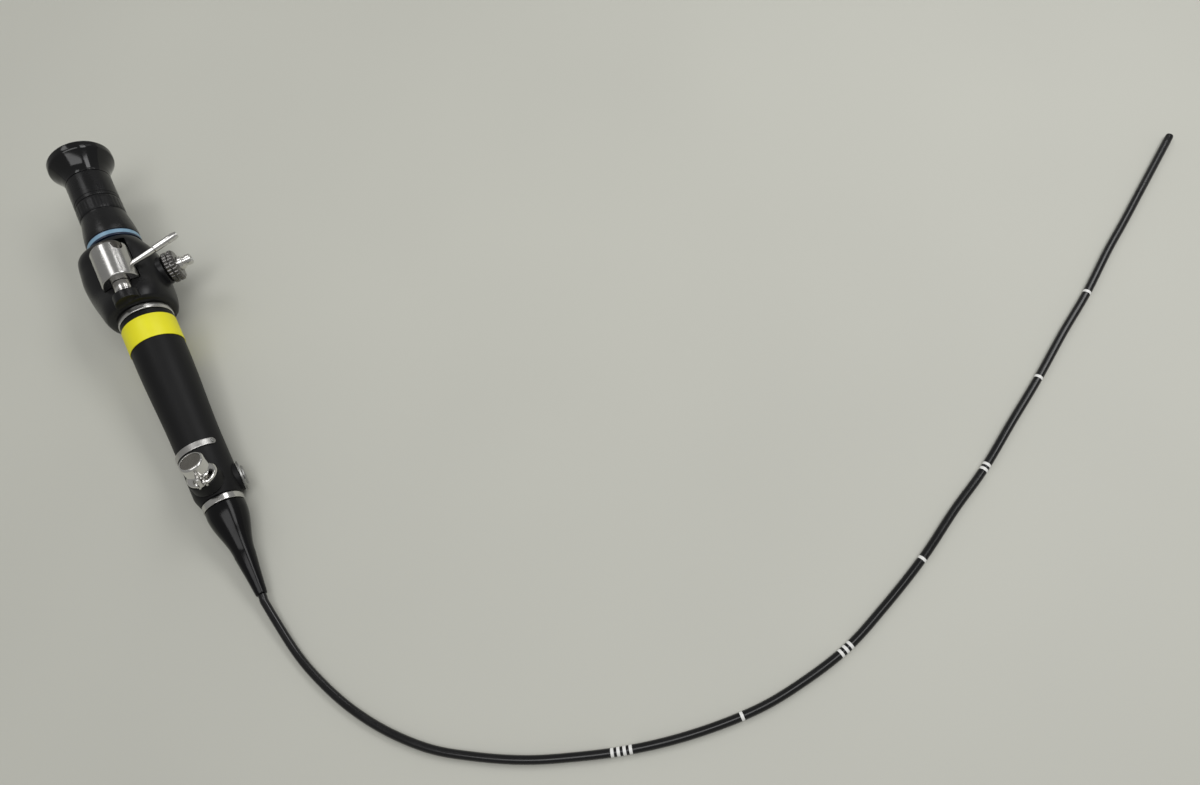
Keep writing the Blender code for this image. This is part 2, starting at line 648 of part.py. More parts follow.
def control_housing(suction_route):
    side_on = (0, math.pi / 2, 0)
    duct = [suction_route[0] + Vector((0, 0, 1 * MM)), *suction_route]
    shell = lofted("control_housing", [housing_ring(s) for s in HOUSING_SECTIONS],
                   SATIN_BLACK, HANDLE)
    fuse(shell,
         rod("post_boss", POST_BOSS_RADIUS, 0, POST_BOSS_REACH, None, HANDLE, STEPS_MEDIUM,
             at=(0, 0, POST_HEIGHT), turn=side_on),
         rod("stem_boss", STEM_RADIUS + STEM_BOSS_WALL, HOUSING_FOOT + 0.5 * MM,
             STEM_LOW + STEM_BOSS_RISE, None, HANDLE, STEPS_MEDIUM, at=(0, -VALVE_OFFSET, 0)))
    pocket_half = WHEEL_WIDTH + LEVER_THICKNESS / 2 + 2 * GAP
    reach = WHEEL_RADIUS + RUN
    slot_half = LEVER_WIDTH / 2 / math.cos(LEVER_TRAVEL) + 2 * RUN
    slot_half += (HOUSING_SECTIONS[3][4] - LEVER_BACK) * math.tan(LEVER_TRAVEL)
    return cut(
        shell,
        rod("housing_bore", HOUSING_BORE, -BEYOND, HOUSING_TOP + BEYOND, None, HANDLE,
            STEPS_MEDIUM),
        rod("ocular_seat", OCULAR_RADIUS + GAP, OCULAR_LOW - GAP, HOUSING_TOP + BEYOND, None,
            HANDLE, STEPS_MEDIUM),
        rod("valve_recess", VALVE_RADIUS + GAP, VALVE_BOTTOM - GAP, HOUSING_TOP - VALVE_EAVE,
            None, HANDLE, STEPS_LARGE, at=(0, -VALVE_OFFSET, 0)),
        rod("stem_socket", STEM_RADIUS + GAP, STEM_LOW - GAP, VALVE_BOTTOM, None, HANDLE,
            STEPS_MEDIUM, at=(0, -VALVE_OFFSET, 0)),
        rod("post_bore", POST_RADIUS + GAP, 0, POST_BOSS_REACH + BEYOND, None, HANDLE,
            STEPS_MEDIUM, at=(0, 0, POST_HEIGHT), turn=side_on),
        rod("axle_bore", AXLE_RADIUS + GAP, -AXLE_LENGTH / 2 - GAP, AXLE_LENGTH / 2 + GAP, None,
            HANDLE, at=(0, LEVER_BACK, LEVER_HEIGHT), turn=side_on),
        box("wheel_pocket", (-pocket_half, 2 * MM, LEVER_HEIGHT - reach),
            (pocket_half, LEVER_BACK + reach, LEVER_HEIGHT + reach), None, HANDLE),
        box("lever_slot", (-LEVER_THICKNESS / 2 - RUN, LEVER_BACK, LEVER_HEIGHT - slot_half),
            (LEVER_THICKNESS / 2 + RUN, LEVER_BACK + BEYOND, LEVER_HEIGHT + slot_half),
            None, HANDLE),
        passage("suction_duct", duct, SUCTION_LINE_RADIUS + GAP, HANDLE),
        solver='MANIFOLD')


def suction_valve():
    seat = frame("suction_axis", HANDLE, at=(0, -VALVE_OFFSET, 0))
    sleeve = turned("suction_cylinder", [
        (VALVE_BORE + 0.4 * MM, VALVE_TOP),
        (VALVE_RADIUS - 0.4 * MM, VALVE_TOP),
        (VALVE_RADIUS, VALVE_TOP - 0.4 * MM),
        (VALVE_RADIUS, VALVE_BOTTOM + 0.5 * MM),
        (VALVE_RADIUS - 0.5 * MM, VALVE_BOTTOM),
        (STEM_BORE, VALVE_BOTTOM),
        (STEM_BORE, VALVE_BOTTOM + VALVE_FLOOR),
        (VALVE_BORE, VALVE_BOTTOM + VALVE_FLOOR),
        (VALVE_BORE, VALVE_TOP - 0.4 * MM),
    ], STEEL, seat, STEPS_LARGE, closed=True)
    reach = VALVE_RADIUS * 1.5
    half = VALVE_NOTCH_WIDTH / 2
    bottom = VALVE_TOP - VALVE_NOTCH_DEPTH + half
    round_end = [math.pi * (1 + i / 9) for i in range(10)]
    outline = [(-half, BEYOND)]
    outline += [(half * math.cos(a), bottom - VALVE_TOP + half * math.sin(a)) for a in round_end]
    outline += [(half, BEYOND)]
    notch = plate("valve_notch", outline, VALVE_BORE / 2, reach, None, seat,
                  at=(0, 0, VALVE_TOP), turn=(math.pi / 2, 0, VALVE_NOTCH_TURN))
    root_at = (VALVE_BORE + 0.2 * MM, 0, VALVE_BOTTOM + NOZZLE_HEIGHT)
    nozzle_turn = (0, math.pi / 2 - NOZZLE_TILT, 0)
    hole = rod("nozzle_seat", NOZZLE_NECK_RADIUS + GAP, -5 * MM, 5 * MM, None, seat,
               at=root_at, turn=nozzle_turn)
    cut(sleeve, notch, hole)
    barb = NOZZLE_NECK_LENGTH + NOZZLE_BARB_LENGTH
    turned("suction_nozzle", [
        (NOZZLE_BORE, barb),
        (NOZZLE_BARB_RADIUS - 0.6 * MM, barb),
        (NOZZLE_BARB_RADIUS, barb - NOZZLE_RING_HEIGHT),
        (NOZZLE_BARB_RADIUS - NOZZLE_RING_DEPTH, barb - NOZZLE_RING_HEIGHT - 0.1 * MM),
        (NOZZLE_BARB_RADIUS - NOZZLE_RING_DEPTH / 3, barb - 2 * NOZZLE_RING_HEIGHT),
        (NOZZLE_BARB_RADIUS - NOZZLE_RING_DEPTH, barb - 2 * NOZZLE_RING_HEIGHT - 0.1 * MM),
        (NOZZLE_BARB_RADIUS - NOZZLE_RING_DEPTH, NOZZLE_NECK_LENGTH + 0.4 * MM),
        (NOZZLE_NECK_RADIUS, NOZZLE_NECK_LENGTH),
        (NOZZLE_NECK_RADIUS, 0),
        (NOZZLE_BORE, 0),
    ], STEEL, seat, STEPS_SMALL, closed=True, at=root_at, turn=nozzle_turn)
    tube("suction_stem", STEM_RADIUS, STEM_BORE, STEM_LOW, VALVE_BOTTOM - GAP, STEEL, seat)
    radius = VALVE_BORE - RUN
    floor = VALVE_BOTTOM + VALVE_FLOOR
    low = floor + VALVE_STROKE + GAP
    top = VALVE_TOP + PISTON_PROUD
    inner = SPRING_RADIUS + 2 * SPRING_WIRE + GAP
    ceiling = top - PISTON_HEAD
    turned("suction_piston", [
        (0, top - 0.9 * MM),
        (radius * 0.55, top - 0.7 * MM),
        (radius - 0.9 * MM, top),
        (radius, top - 0.7 * MM),
        (radius, low),
        (inner, low),
        (inner, ceiling),
        (0, ceiling),
    ], BLACK, seat)
    length = ceiling - floor - 2 * (GAP + SPRING_WIRE)
    steps = SPRING_TURNS * 10
    coil = [(SPRING_RADIUS * math.cos(i * math.pi / 5), SPRING_RADIUS * math.sin(i * math.pi / 5),
             floor + GAP + SPRING_WIRE + length * i / steps) for i in range(steps + 1)]
    wire("piston_spring", coil, SPRING_WIRE, DULL_STEEL, seat, 1)


def light_post():
    seat = frame("light_post_axis", HANDLE, at=(0, 0, POST_HEIGHT), turn=(0, math.pi / 2, 0))
    window_seat = POST_TIP_RADIUS - POST_RIM
    turned("light_post", [
        (window_seat, POST_REACH),
        (POST_TIP_RADIUS - 0.3 * MM, POST_REACH),
        (POST_TIP_RADIUS, POST_REACH - 0.3 * MM),
        (POST_TIP_RADIUS, POST_REACH - POST_TIP_LENGTH),
        (POST_RADIUS, POST_REACH - POST_TIP_LENGTH - 0.4 * MM),
        (POST_RADIUS, POST_ROOT),
        (POST_BORE, POST_ROOT),
        (POST_BORE, POST_REACH - POST_WINDOW_THICKNESS - GAP),
        (window_seat, POST_REACH - POST_WINDOW_THICKNESS - GAP),
    ], STEEL, seat, closed=True)
    rod("light_post_window", window_seat - GAP / 2, POST_REACH - POST_WINDOW_THICKNESS,
        POST_REACH - 0.1 * MM, GLASS, seat)
    ribbed_ring("light_adapter_ring", ADAPTER_RADIUS, ADAPTER_TOOTH, ADAPTER_TEETH,
                ADAPTER_LENGTH, POST_RADIUS + RUN, STEEL, seat,
                at=(0, 0, POST_BOSS_REACH + GAP))


def thumb_lever():
    pivot = frame("lever_pivot", HANDLE, at=(0, LEVER_BACK, LEVER_HEIGHT))
    across = (0, math.pi / 2, 0)
    half = LEVER_THICKNESS / 2
    eye_to_tip = PAD_REACH - PAD_THICKNESS - PAD_RIB_DEPTH - GAP
    lean = math.asin(LEVER_WIDTH / 2 / LEVER_EYE_RADIUS)
    outline = []
    for i in range(17):
        angle = lean + (2 * math.pi - 2 * lean) * i / 16
        outline.append((LEVER_EYE_RADIUS * math.cos(angle), LEVER_EYE_RADIUS * math.sin(angle)))
    outline += [(eye_to_tip, -LEVER_WIDTH / 2), (eye_to_tip, LEVER_WIDTH / 2)]
    arm = plate("deflection_lever", outline, -half, half, DULL_STEEL, pivot,
                turn=(math.pi / 2, 0, math.pi / 2))
    hole = rod("lever_eye", AXLE_RADIUS + RUN, -BEYOND, BEYOND, None, pivot, turn=across)
    cut(arm, hole)
    near = half + GAP
    for side, sign in (("right", 1), ("left", -1)):
        turned("pull_wheel_" + side, [
            (WHEEL_RADIUS, near + WHEEL_WIDTH),
            (WHEEL_RADIUS, near + WHEEL_WIDTH * 0.75),
            (WHEEL_RADIUS - WHEEL_GROOVE, near + WHEEL_WIDTH * 0.5),
            (WHEEL_RADIUS, near + WHEEL_WIDTH * 0.25),
            (WHEEL_RADIUS, near),
            (AXLE_RADIUS + RUN, near),
            (AXLE_RADIUS + RUN, near + WHEEL_WIDTH),
        ], BRASS, pivot, closed=True, turn=(0, sign * math.pi / 2, 0))
    rod("lever_axle", AXLE_RADIUS, -AXLE_LENGTH / 2, AXLE_LENGTH / 2, STEEL, pivot, turn=across)
    thumb_pad(pivot)


def thumb_pad(pivot):
    """A curved, crowned and ribbed plate whose outer side runs round the lever's pivot."""
    inner = PAD_REACH - PAD_THICKNESS - PAD_RIB_DEPTH
    rings = []
    stations = 4 * PAD_RIBS + 1
    for k in range(stations):
        share = k / (stations - 1)
        swing = PAD_HALF_ANGLE * (2 * share - 1)
        rib = 0.0 if k % 4 in (1, 2, 3) else PAD_RIB_DEPTH
        end = abs(2 * share - 1) ** 4
        width = PAD_HALF_WIDTH * (1 - 0.22 * end)
        outer = PAD_REACH - rib - 0.5 * MM * end
        ring = []
        columns = 8
        for j in range(columns + 1):
            x = width * (2 * j / columns - 1)
            drop = PAD_CROWN - math.sqrt(PAD_CROWN ** 2 - x ** 2)
            edge = 0.45 * MM if j in (0, columns) else 0.0
            ring.append((x, outer - drop - edge))
        ring += [(width * (1 - 2 * j / columns), inner) for j in range(columns + 1)]
        rings.append([(x, r * math.cos(swing), r * math.sin(swing)) for x, r in ring])
    lofted("thumb_pad", rings, RUBBER, pivot)


def grip_outline(inset=0.0):
    """The grip's outer side, down from its top, with a long eased taper to the waist."""
    profile = [(GRIP_RADIUS - inset, GRIP_TOP)]
    for i in range(7):
        t = i / 6
        radius = GRIP_RADIUS + (GRIP_WAIST_RADIUS - GRIP_RADIUS) * ease(t)
        profile.append((radius - inset, GRIP_TOP - GRIP_STRAIGHT - GRIP_TAPER * t))
    profile.append((GRIP_WAIST_RADIUS - inset, GRIP_LOW + GRIP_CHAMFER))
    return profile


def grip(suction_route):
    bore = CHASSIS_RADIUS + GAP
    inside = [point for point in grip_outline(GRIP_WALL)][1:]
    profile = [(SPIGOT_RADIUS, -GRIP_TOP - GAP), (SPIGOT_RADIUS, GRIP_TOP)]
    profile += grip_outline()
    profile += [(GRIP_END_RADIUS, GRIP_LOW), (bore, GRIP_LOW)]
    profile += [(bore, GRIP_LOW + GRIP_CHAMFER + 1.0 * MM)]
    profile += [(GRIP_WAIST_RADIUS - GRIP_WALL, GRIP_LOW + GRIP_CHAMFER + 3.0 * MM)]
    profile += list(reversed(inside))[1:]
    profile += [(GRIP_RADIUS - GRIP_WALL, GRIP_TOP - GRIP_FLANGE), (bore, GRIP_TOP - GRIP_FLANGE)]
    profile += [(bore, -GRIP_TOP - GAP)]
    shell = turned("grip_sleeve", profile, SATIN_BLACK, HANDLE, STEPS_LARGE, closed=True)
    port = port_frame("port_boss_frame")
    vent = vent_frame("vent_boss_frame")
    fuse(shell,
         rod("port_boss", PORT_BOSS_RADIUS, -2.2 * MM, PORT_BOSS_TOP, None, port,
             STEPS_MEDIUM),
         rod("vent_boss", VENT_BOSS_RADIUS, GRIP_WAIST_RADIUS - GRIP_WALL - 1.0 * MM,
             VENT_BOSS_REACH, None, vent, STEPS_MEDIUM), solver='MANIFOLD')
    cut(shell,
        rod("port_hole", PORT_ROOT_RADIUS + GAP, -PORT_ROOT_DEPTH - GAP, PORT_BOSS_TOP + 5 * MM,
            None, port, STEPS_SMALL),
        rod("vent_hole", VENT_STEM_RADIUS + RUN, VENT_BOSS_REACH - VENT_STEM_LENGTH - GAP,
            VENT_BOSS_REACH + 5 * MM, None, vent, STEPS_SMALL),
        passage("grip_suction_duct", suction_route, SUCTION_LINE_RADIUS + GAP, HANDLE),
        strap_screw_hole(), solver='MANIFOLD')
    tube("clamp_ring", CLAMP_RING_RADIUS, SPIGOT_RADIUS + GAP, -CLAMP_RING_HEIGHT / 2,
         CLAMP_RING_HEIGHT / 2, STEEL, HANDLE, STEPS_LARGE)
    label_low = GRIP_TOP - LABEL_TOP - LABEL_WIDTH
    tube("label_band", GRIP_RADIUS + SKIN_GAP + LABEL_THICKNESS, GRIP_RADIUS + SKIN_GAP,
         label_low, label_low + LABEL_WIDTH, YELLOW, HANDLE, STEPS_LARGE)
    tube("chassis_tube", CHASSIS_RADIUS, CHASSIS_BORE, CHASSIS_LOW, CHASSIS_TOP, DULL_STEEL,
         HANDLE)
    tube("tube_collet", CHASSIS_RADIUS, TUBE_RADIUS + GAP, COLLET_TOP - COLLET_LENGTH,
         COLLET_TOP, BRASS, HANDLE)


def boot_and_ring():
    tube("bottom_ring", BOTTOM_RING_RADIUS, BOTTOM_RING_BORE, RING_LOW, RING_TOP, STEEL, HANDLE,
         STEPS_LARGE)
    spigot = BOTTOM_RING_BORE - GAP
    waist = BOOT_END_RADIUS + 2.2 * MM
    profile = [(spigot, RING_TOP), (spigot, BOOT_TOP), (BOOT_TOP_RADIUS, BOOT_TOP)]
    shoulder, taper = 0.2 * BOOT_LENGTH, 0.36 * BOOT_LENGTH
    for i in range(1, 7):
        t = i / 6
        radius = BOOT_TOP_RADIUS + (waist - BOOT_TOP_RADIUS) * ease(t)
        height = BOOT_TOP - 0.25 * shoulder - (shoulder * 0.75 + taper) * t
        profile.append((radius, height))
    profile += [(BOOT_END_RADIUS + 0.9 * MM, BOOT_LOW + 0.2 * BOOT_LENGTH)]
    profile += [(BOOT_END_RADIUS, BOOT_LOW + 0.4 * MM), (BOOT_END_RADIUS - 0.1 * MM, BOOT_LOW)]
    profile += [(TUBE_RADIUS + GAP, BOOT_LOW), (TUBE_RADIUS + GAP, RING_TOP)]
    turned("boot", profile, GLOSS_BLACK, HANDLE, STEPS_LARGE, closed=True)
    rod("tube_root", TUBE_RADIUS, BOOT_LOW, COLLET_TOP - GAP, GLOSS_BLACK, HANDLE)


def port_frame(name):
    return frame(name, HANDLE, at=(0, -PORT_SEAT, -PORT_HEIGHT),
                 turn=(math.pi / 2 - PORT_LEAN, 0, 0))


def vent_frame(name):
    return frame(name, HANDLE, at=(0, 0, -VENT_HEIGHT), turn=(0, math.pi / 2, VENT_TURN))


def channel_port():
    port = port_frame("port_axis")
    flange = PORT_BOSS_TOP + GAP
    top = flange + PORT_FLANGE_THICKNESS
    mouth = top + PORT_NECK_HEIGHT
    hinge_height = top + LID_HINGE_RADIUS + GAP
    body = turned("channel_port", [
        (PORT_MOUTH, mouth),
        (PORT_NECK_RADIUS + PORT_LIP, mouth),
        (PORT_NECK_RADIUS + PORT_LIP, mouth - 0.9 * MM),
        (PORT_NECK_RADIUS, mouth - 1.3 * MM),
        (PORT_NECK_RADIUS, top + 0.5 * MM),
        (PORT_NECK_RADIUS + 0.8 * MM, top),
        (PORT_FLANGE_RADIUS - 0.3 * MM, top),
        (PORT_FLANGE_RADIUS, top - 0.3 * MM),
        (PORT_FLANGE_RADIUS, flange),
        (PORT_ROOT_RADIUS, flange),
        (PORT_ROOT_RADIUS, -PORT_ROOT_DEPTH),
        (PORT_BORE, -PORT_ROOT_DEPTH),
        (PORT_BORE, mouth - PORT_TAPER),
    ], STEEL, port, closed=True)
    ear_gap = LID_ARM_WIDTH / 2 + RUN
    ears = []
    for side in (-1, 1):
        low_x = min(side * ear_gap, side * (ear_gap + HINGE_EAR_WIDTH))
        ears.append(box("hinge_ear_%d" % (side + 2),
                        (low_x, -LID_HINGE_REACH - LID_HINGE_RADIUS, flange),
                        (low_x + HINGE_EAR_WIDTH, -PORT_FLANGE_RADIUS + 1.5 * MM,
                         hinge_height + LID_HINGE_RADIUS), None, port))
    hinge_hole = rod("hinge_hole", LID_HINGE_PIN + LID_HINGE_PLAY, -BEYOND, BEYOND, None, port,
                     at=(0, -LID_HINGE_REACH, hinge_height), turn=(0, math.pi / 2, 0))
    fuse(body, *ears)
    cut(body, hinge_hole)
    pin_half = ear_gap + HINGE_EAR_WIDTH
    rod("lid_hinge_pin", LID_HINGE_PIN, -pin_half, pin_half, STEEL, port, STEPS_FINE,
        at=(0, -LID_HINGE_REACH, hinge_height), turn=(0, math.pi / 2, 0))
    port_lid(port, mouth, hinge_height)


def port_lid(port, mouth, hinge_height):
    """A domed steel lid with an arm down to its hinge on the boot's side."""
    hinge = frame("lid_hinge", port, at=(0, -LID_HINGE_REACH, hinge_height))
    base = mouth - hinge_height - LID_SKIRT
    roof = mouth - hinge_height + SEAL_THICKNESS + 2 * GAP
    top = roof + LID_HEIGHT - LID_SKIRT - SEAL_THICKNESS
    inner = PORT_NECK_RADIUS + PORT_LIP + RUN
    lid = turned("port_lid", [
        (0, top),
        (LID_RADIUS - 2.0 * MM, top),
        (LID_RADIUS - 1.4 * MM, top - 0.35 * MM),
        (LID_RADIUS - 0.5 * MM, top - 0.2 * MM),
        (LID_RADIUS, top - 0.8 * MM),
        (LID_RADIUS, base),
        (inner + 0.6 * MM, base),
        (inner + 0.2 * MM, roof),
        (0, roof),
    ], STEEL, hinge, at=(0, LID_HINGE_REACH, 0))
    half = LID_ARM_WIDTH / 2
    arm = box("lid_arm", (-half, -LID_HINGE_RADIUS, -LID_HINGE_RADIUS),
              (half, LID_HINGE_REACH - LID_RADIUS + 1.2 * MM, base + 2.0 * MM), None, hinge)
    hole = rod("lid_hinge_hole", LID_HINGE_PIN + LID_HINGE_PLAY, -BEYOND, BEYOND, None, hinge,
               STEPS_FINE, turn=(0, math.pi / 2, 0))
    fuse(lid, arm)
    cut(lid, hole)
    rod("port_seal", inner - 0.2 * MM, roof - GAP - SEAL_THICKNESS, roof - GAP, RUBBER, hinge,
        at=(0, LID_HINGE_REACH, 0))


def strap_point(turn, radius, height):
    return (radius * math.sin(turn), -radius * math.cos(turn), height)


def strap_screw_frame(name):
    return frame(name, HANDLE, at=(0, 0, -STRAP_HEIGHT), turn=(math.pi / 2, 0, STRAP_RIGHT))


def strap_screw_hole():
    seat = strap_screw_frame("strap_screw_hole_frame")
    low = GRIP_WAIST_RADIUS - STRAP_SCREW_DEPTH - STRAP_SCREW_PLAY
    return rod("strap_screw_hole", STRAP_SCREW_SHANK + STRAP_SCREW_PLAY, low, low + 5 * MM, None,
               seat, STEPS_FINE)


def retaining_strap():
    """A steel strip bent round the front of the grip, with round ends and one screw."""
    inner = GRIP_WAIST_RADIUS + GAP / 2
    outer = inner + STRAP_THICKNESS
    end = STRAP_WIDTH / 2 / outer
    rings = []
    turns = [STRAP_LEFT - end * math.cos(math.pi / 2 * i / 4) for i in range(4)]
    turns += [STRAP_LEFT + (STRAP_RIGHT - STRAP_LEFT) * i / STRAP_STEPS
              for i in range(STRAP_STEPS + 1)]
    turns += [STRAP_RIGHT + end * math.sin(math.pi / 2 * i / 4) for i in range(1, 5)]
    for turn in turns:
        beyond = max(STRAP_LEFT - turn, turn - STRAP_RIGHT, 0) / end
        half = max(STRAP_WIDTH / 2 * math.sqrt(max(1 - beyond ** 2, 0)), 0.12 * MM)
        low, high = -STRAP_HEIGHT - half, -STRAP_HEIGHT + half
        rings.append([strap_point(turn, inner, low), strap_point(turn, outer, low),
                      strap_point(turn, outer, high), strap_point(turn, inner, high)])
    strap = lofted("retaining_strap", rings, STEEL, HANDLE)
    seat = strap_screw_frame("strap_screw_axis")
    shank = STRAP_SCREW_SHANK
    cut(strap, rod("strap_hole", shank + STRAP_SCREW_PLAY, inner - 2 * MM, outer + 2 * MM, None,
                   seat, STEPS_FINE))
    low = GRIP_WAIST_RADIUS - STRAP_SCREW_DEPTH
    head = outer + STRAP_SCREW_PLAY
    screw = turned("strap_screw", [
        (0, head + STRAP_SCREW_HEAD),
        (STRAP_SCREW_RADIUS - 0.2 * MM, head + STRAP_SCREW_HEAD),
        (STRAP_SCREW_RADIUS, head + 0.15 * MM),
        (STRAP_SCREW_RADIUS, head),
        (shank, head),
        (shank, low),
        (0, low),
    ], STEEL, seat, STEPS_SMALL)
    cut(screw, box("screw_slot", (-2 * MM, -0.13 * MM, head + STRAP_SCREW_HEAD - 0.2 * MM),
                   (2 * MM, 0.13 * MM, head + 2 * MM), None, seat))


def vent_valve():
    vent = vent_frame("vent_axis")
    low = VENT_BOSS_REACH + GAP
    high = low + VENT_FLANGE_THICKNESS
    tube("vent_flange", VENT_FLANGE_RADIUS, VENT_STEM_RADIUS + RUN, low, high, STEEL, vent)
    cap_low = high + GAP
    top = cap_low + VENT_CAP_THICKNESS
    cap = turned("vent_cap", [
        (0, top),
        (VENT_CAP_RADIUS - 0.4 * MM, top),
        (VENT_CAP_RADIUS, top - 0.4 * MM),
        (VENT_CAP_RADIUS, cap_low),
        (VENT_STEM_RADIUS, cap_low),
        (VENT_STEM_RADIUS, VENT_BOSS_REACH - VENT_STEM_LENGTH),
        (0, VENT_BOSS_REACH - VENT_STEM_LENGTH),
    ], STEEL, vent)
    cut(cap, box("vent_slot", (-VENT_CAP_RADIUS, -VENT_SLOT_WIDTH / 2, top - VENT_SLOT_DEPTH),
                 (VENT_CAP_RADIUS, VENT_SLOT_WIDTH / 2, top + 2 * MM), None, vent))


def inner_lines(ferrule_low, suction_route):
    """What runs down the handle: image and light bundles, channel, suction line, pull wires."""
    low = CHASSIS_LOW
    image_x, light_x, channel_y = -1.5 * MM, 1.75 * MM, -2.25 * MM
    wire("image_bundle", smooth_line([
        (0, 0, ferrule_low - GAP), (-0.3 * MM, 0, ferrule_low - 8 * MM),
        (image_x, 0, LEVER_HEIGHT), (image_x, 0, 0), (image_x, 0, low)], 18),
        IMAGE_BUNDLE_RADIUS, FIBRE, HANDLE)
    wire("light_bundle", smooth_line([
        (POST_ROOT - GAP, 0, POST_HEIGHT), (7.0 * MM, 0, POST_HEIGHT - 0.3 * MM),
        (4.0 * MM, 0, POST_HEIGHT - 1.8 * MM), (2.2 * MM, 0, POST_HEIGHT - 4.8 * MM),
        (light_x, 0, POST_HEIGHT - LIGHT_BUNDLE_DROP),
        (light_x, 0, 0), (light_x, 0, low)], 22), LIGHT_BUNDLE_RADIUS, FIBRE, HANDLE)
    wire("working_channel", [(0, channel_y, low + CHANNEL_LENGTH), (0, channel_y, low)],
         CHANNEL_RADIUS, RUBBER, HANDLE)
    wire("suction_line", suction_route, SUCTION_LINE_RADIUS, RUBBER, HANDLE, 1)
    wheel_x = LEVER_THICKNESS / 2 + GAP + WHEEL_WIDTH / 2
    wheel_y = LEVER_BACK - WHEEL_RADIUS - PULL_WIRE_RADIUS - SKIN_GAP
    for side, sign in (("right", 1), ("left", -1)):
        wire("pull_wire_" + side, smooth_line([
            (sign * wheel_x, wheel_y, LEVER_HEIGHT), (sign * wheel_x * 0.8, wheel_y - 0.6 * MM,
                                                     LEVER_HEIGHT - 4 * MM),
            (sign * 0.9 * MM, 2.5 * MM, CHASSIS_TOP + 0.5 * MM), (sign * 0.7 * MM, 2.5 * MM, 0),
            (sign * 0.7 * MM, 2.5 * MM, low)], 16), PULL_WIRE_RADIUS, DULL_STEEL, HANDLE, 1)


def insertion_tube():
    """The tube leaves the boot in line with the handle and lies on the table from there on."""
    outward = -HANDLE_AXIS
    mouth = Vector((*BOOT_MOUTH, MOUTH_HEIGHT))
    start = mouth + outward * GAP
    points = [start, mouth + outward * TUBE_LEAD * 0.5, mouth + outward * TUBE_LEAD]
    points += [Vector(point) * MM for point in TUBE_ROUTE]
    wire("insertion_tube", smooth_line(points, TUBE_STEPS), TUBE_RADIUS, GLOSS_BLACK, None)
    forward = Vector(TUBE_ROUTE[-1]) - Vector(TUBE_ROUTE[-2])
    forward.z = 0
    return Vector(TUBE_ROUTE[-1]) * MM, math.atan2(forward.y, forward.x)


def stadium(start, reach):
    """A tongue outline from x = start to a round end about x = reach."""
    swing = [math.pi * i / STEPS_TONGUE for i in range(STEPS_TONGUE + 1)]
    rim = [(reach + EAR_HALF_WIDTH * math.sin(a), EAR_HALF_WIDTH * math.cos(a)) for a in swing]
    return [(start, EAR_HALF_WIDTH), *rim, (start, -EAR_HALF_WIDTH)]


def shaped_tube(name, outer, inner, outline, parent):
    """The part of a tube along x that lies under a flat outline seen from above."""
    body = plate(name, outline, -2 * outer, 2 * outer, None, parent)
    lie = (0, math.pi / 2, 0)
    skin = tube(name + "_skin", outer, inner, -BEYOND, BEYOND, None, parent, STEPS_LINK, turn=lie)
    return join(body, skin, 'INTERSECT')


def link_outline(back, front, tongue):
    """A link seen from above: sloped ends that leave room to bend, and a rounded tongue."""
    side = LINK_OUTER * 1.2
    fall = (side - EAR_HALF_WIDTH) * math.tan(LINK_SLOPE)
    points = [(front, EAR_HALF_WIDTH), (front, -EAR_HALF_WIDTH), (front - fall, -side)]
    if tongue:
        points += [(back + fall, -side), (back, -EAR_HALF_WIDTH)]
        swing = [math.pi * i / STEPS_TONGUE for i in range(STEPS_TONGUE + 1)]
        points += [(-EAR_HALF_WIDTH * math.sin(a), -EAR_HALF_WIDTH * math.cos(a)) for a in swing]
        points += [(back, EAR_HALF_WIDTH), (back + fall, side)]
    else:
        points += [(back, -side), (back, side)]
    return points + [(front - fall, side)]


def bend_link(name, parent, length, ears=True, tongue=True, back=LINK_CREST, front=None):
    """One link: wall with tongues at its own hinge, and ears with rivets at the next hinge."""
    front = length - LINK_CREST if front is None else front
    wall = shaped_tube(name + "_wall", LINK_OUTER, LINK_INNER,
                       link_outline(back, front, tongue), parent)
    mesh = bpy.data.meshes.new(name)
    made = put(name, mesh, DULL_STEEL, parent)
    fuse(made, wall)
    if ears:
        root = length - EAR_ROOT
        lug = shaped_tube(name + "_lug", EAR_OUTER, EAR_INNER, stadium(root, length), parent)
        step = shaped_tube(name + "_step", EAR_OUTER, (LINK_OUTER + LINK_INNER) / 2,
                           [(root, EAR_HALF_WIDTH), (root + EAR_JOGGLE, EAR_HALF_WIDTH),
                            (root + EAR_JOGGLE, -EAR_HALF_WIDTH), (root, -EAR_HALF_WIDTH)],
                           parent)
        rivets = rod(name + "_rivet", RIVET_RADIUS, -EAR_OUTER + 0.05 * MM,
                     EAR_OUTER - 0.05 * MM, None, parent, 10, at=(length, 0, 0),
                     turn=(0, 0, math.pi / 20))
        hollow = rod(name + "_hollow", LINK_INNER - RIVET_PLAY, length - EAR_HALF_WIDTH,
                     length + EAR_HALF_WIDTH, None, parent, 16, turn=(0, math.pi / 2, 0))
        fuse(made, lug, step, rivets, solver='MANIFOLD')
        cut(made, hollow)
    if tongue:
        cut(made, rod(name + "_eye", RIVET_RADIUS + RIVET_PLAY, -LINK_OUTER - 0.3 * MM,
                      LINK_OUTER + 0.3 * MM, None, parent, 8))
    return made


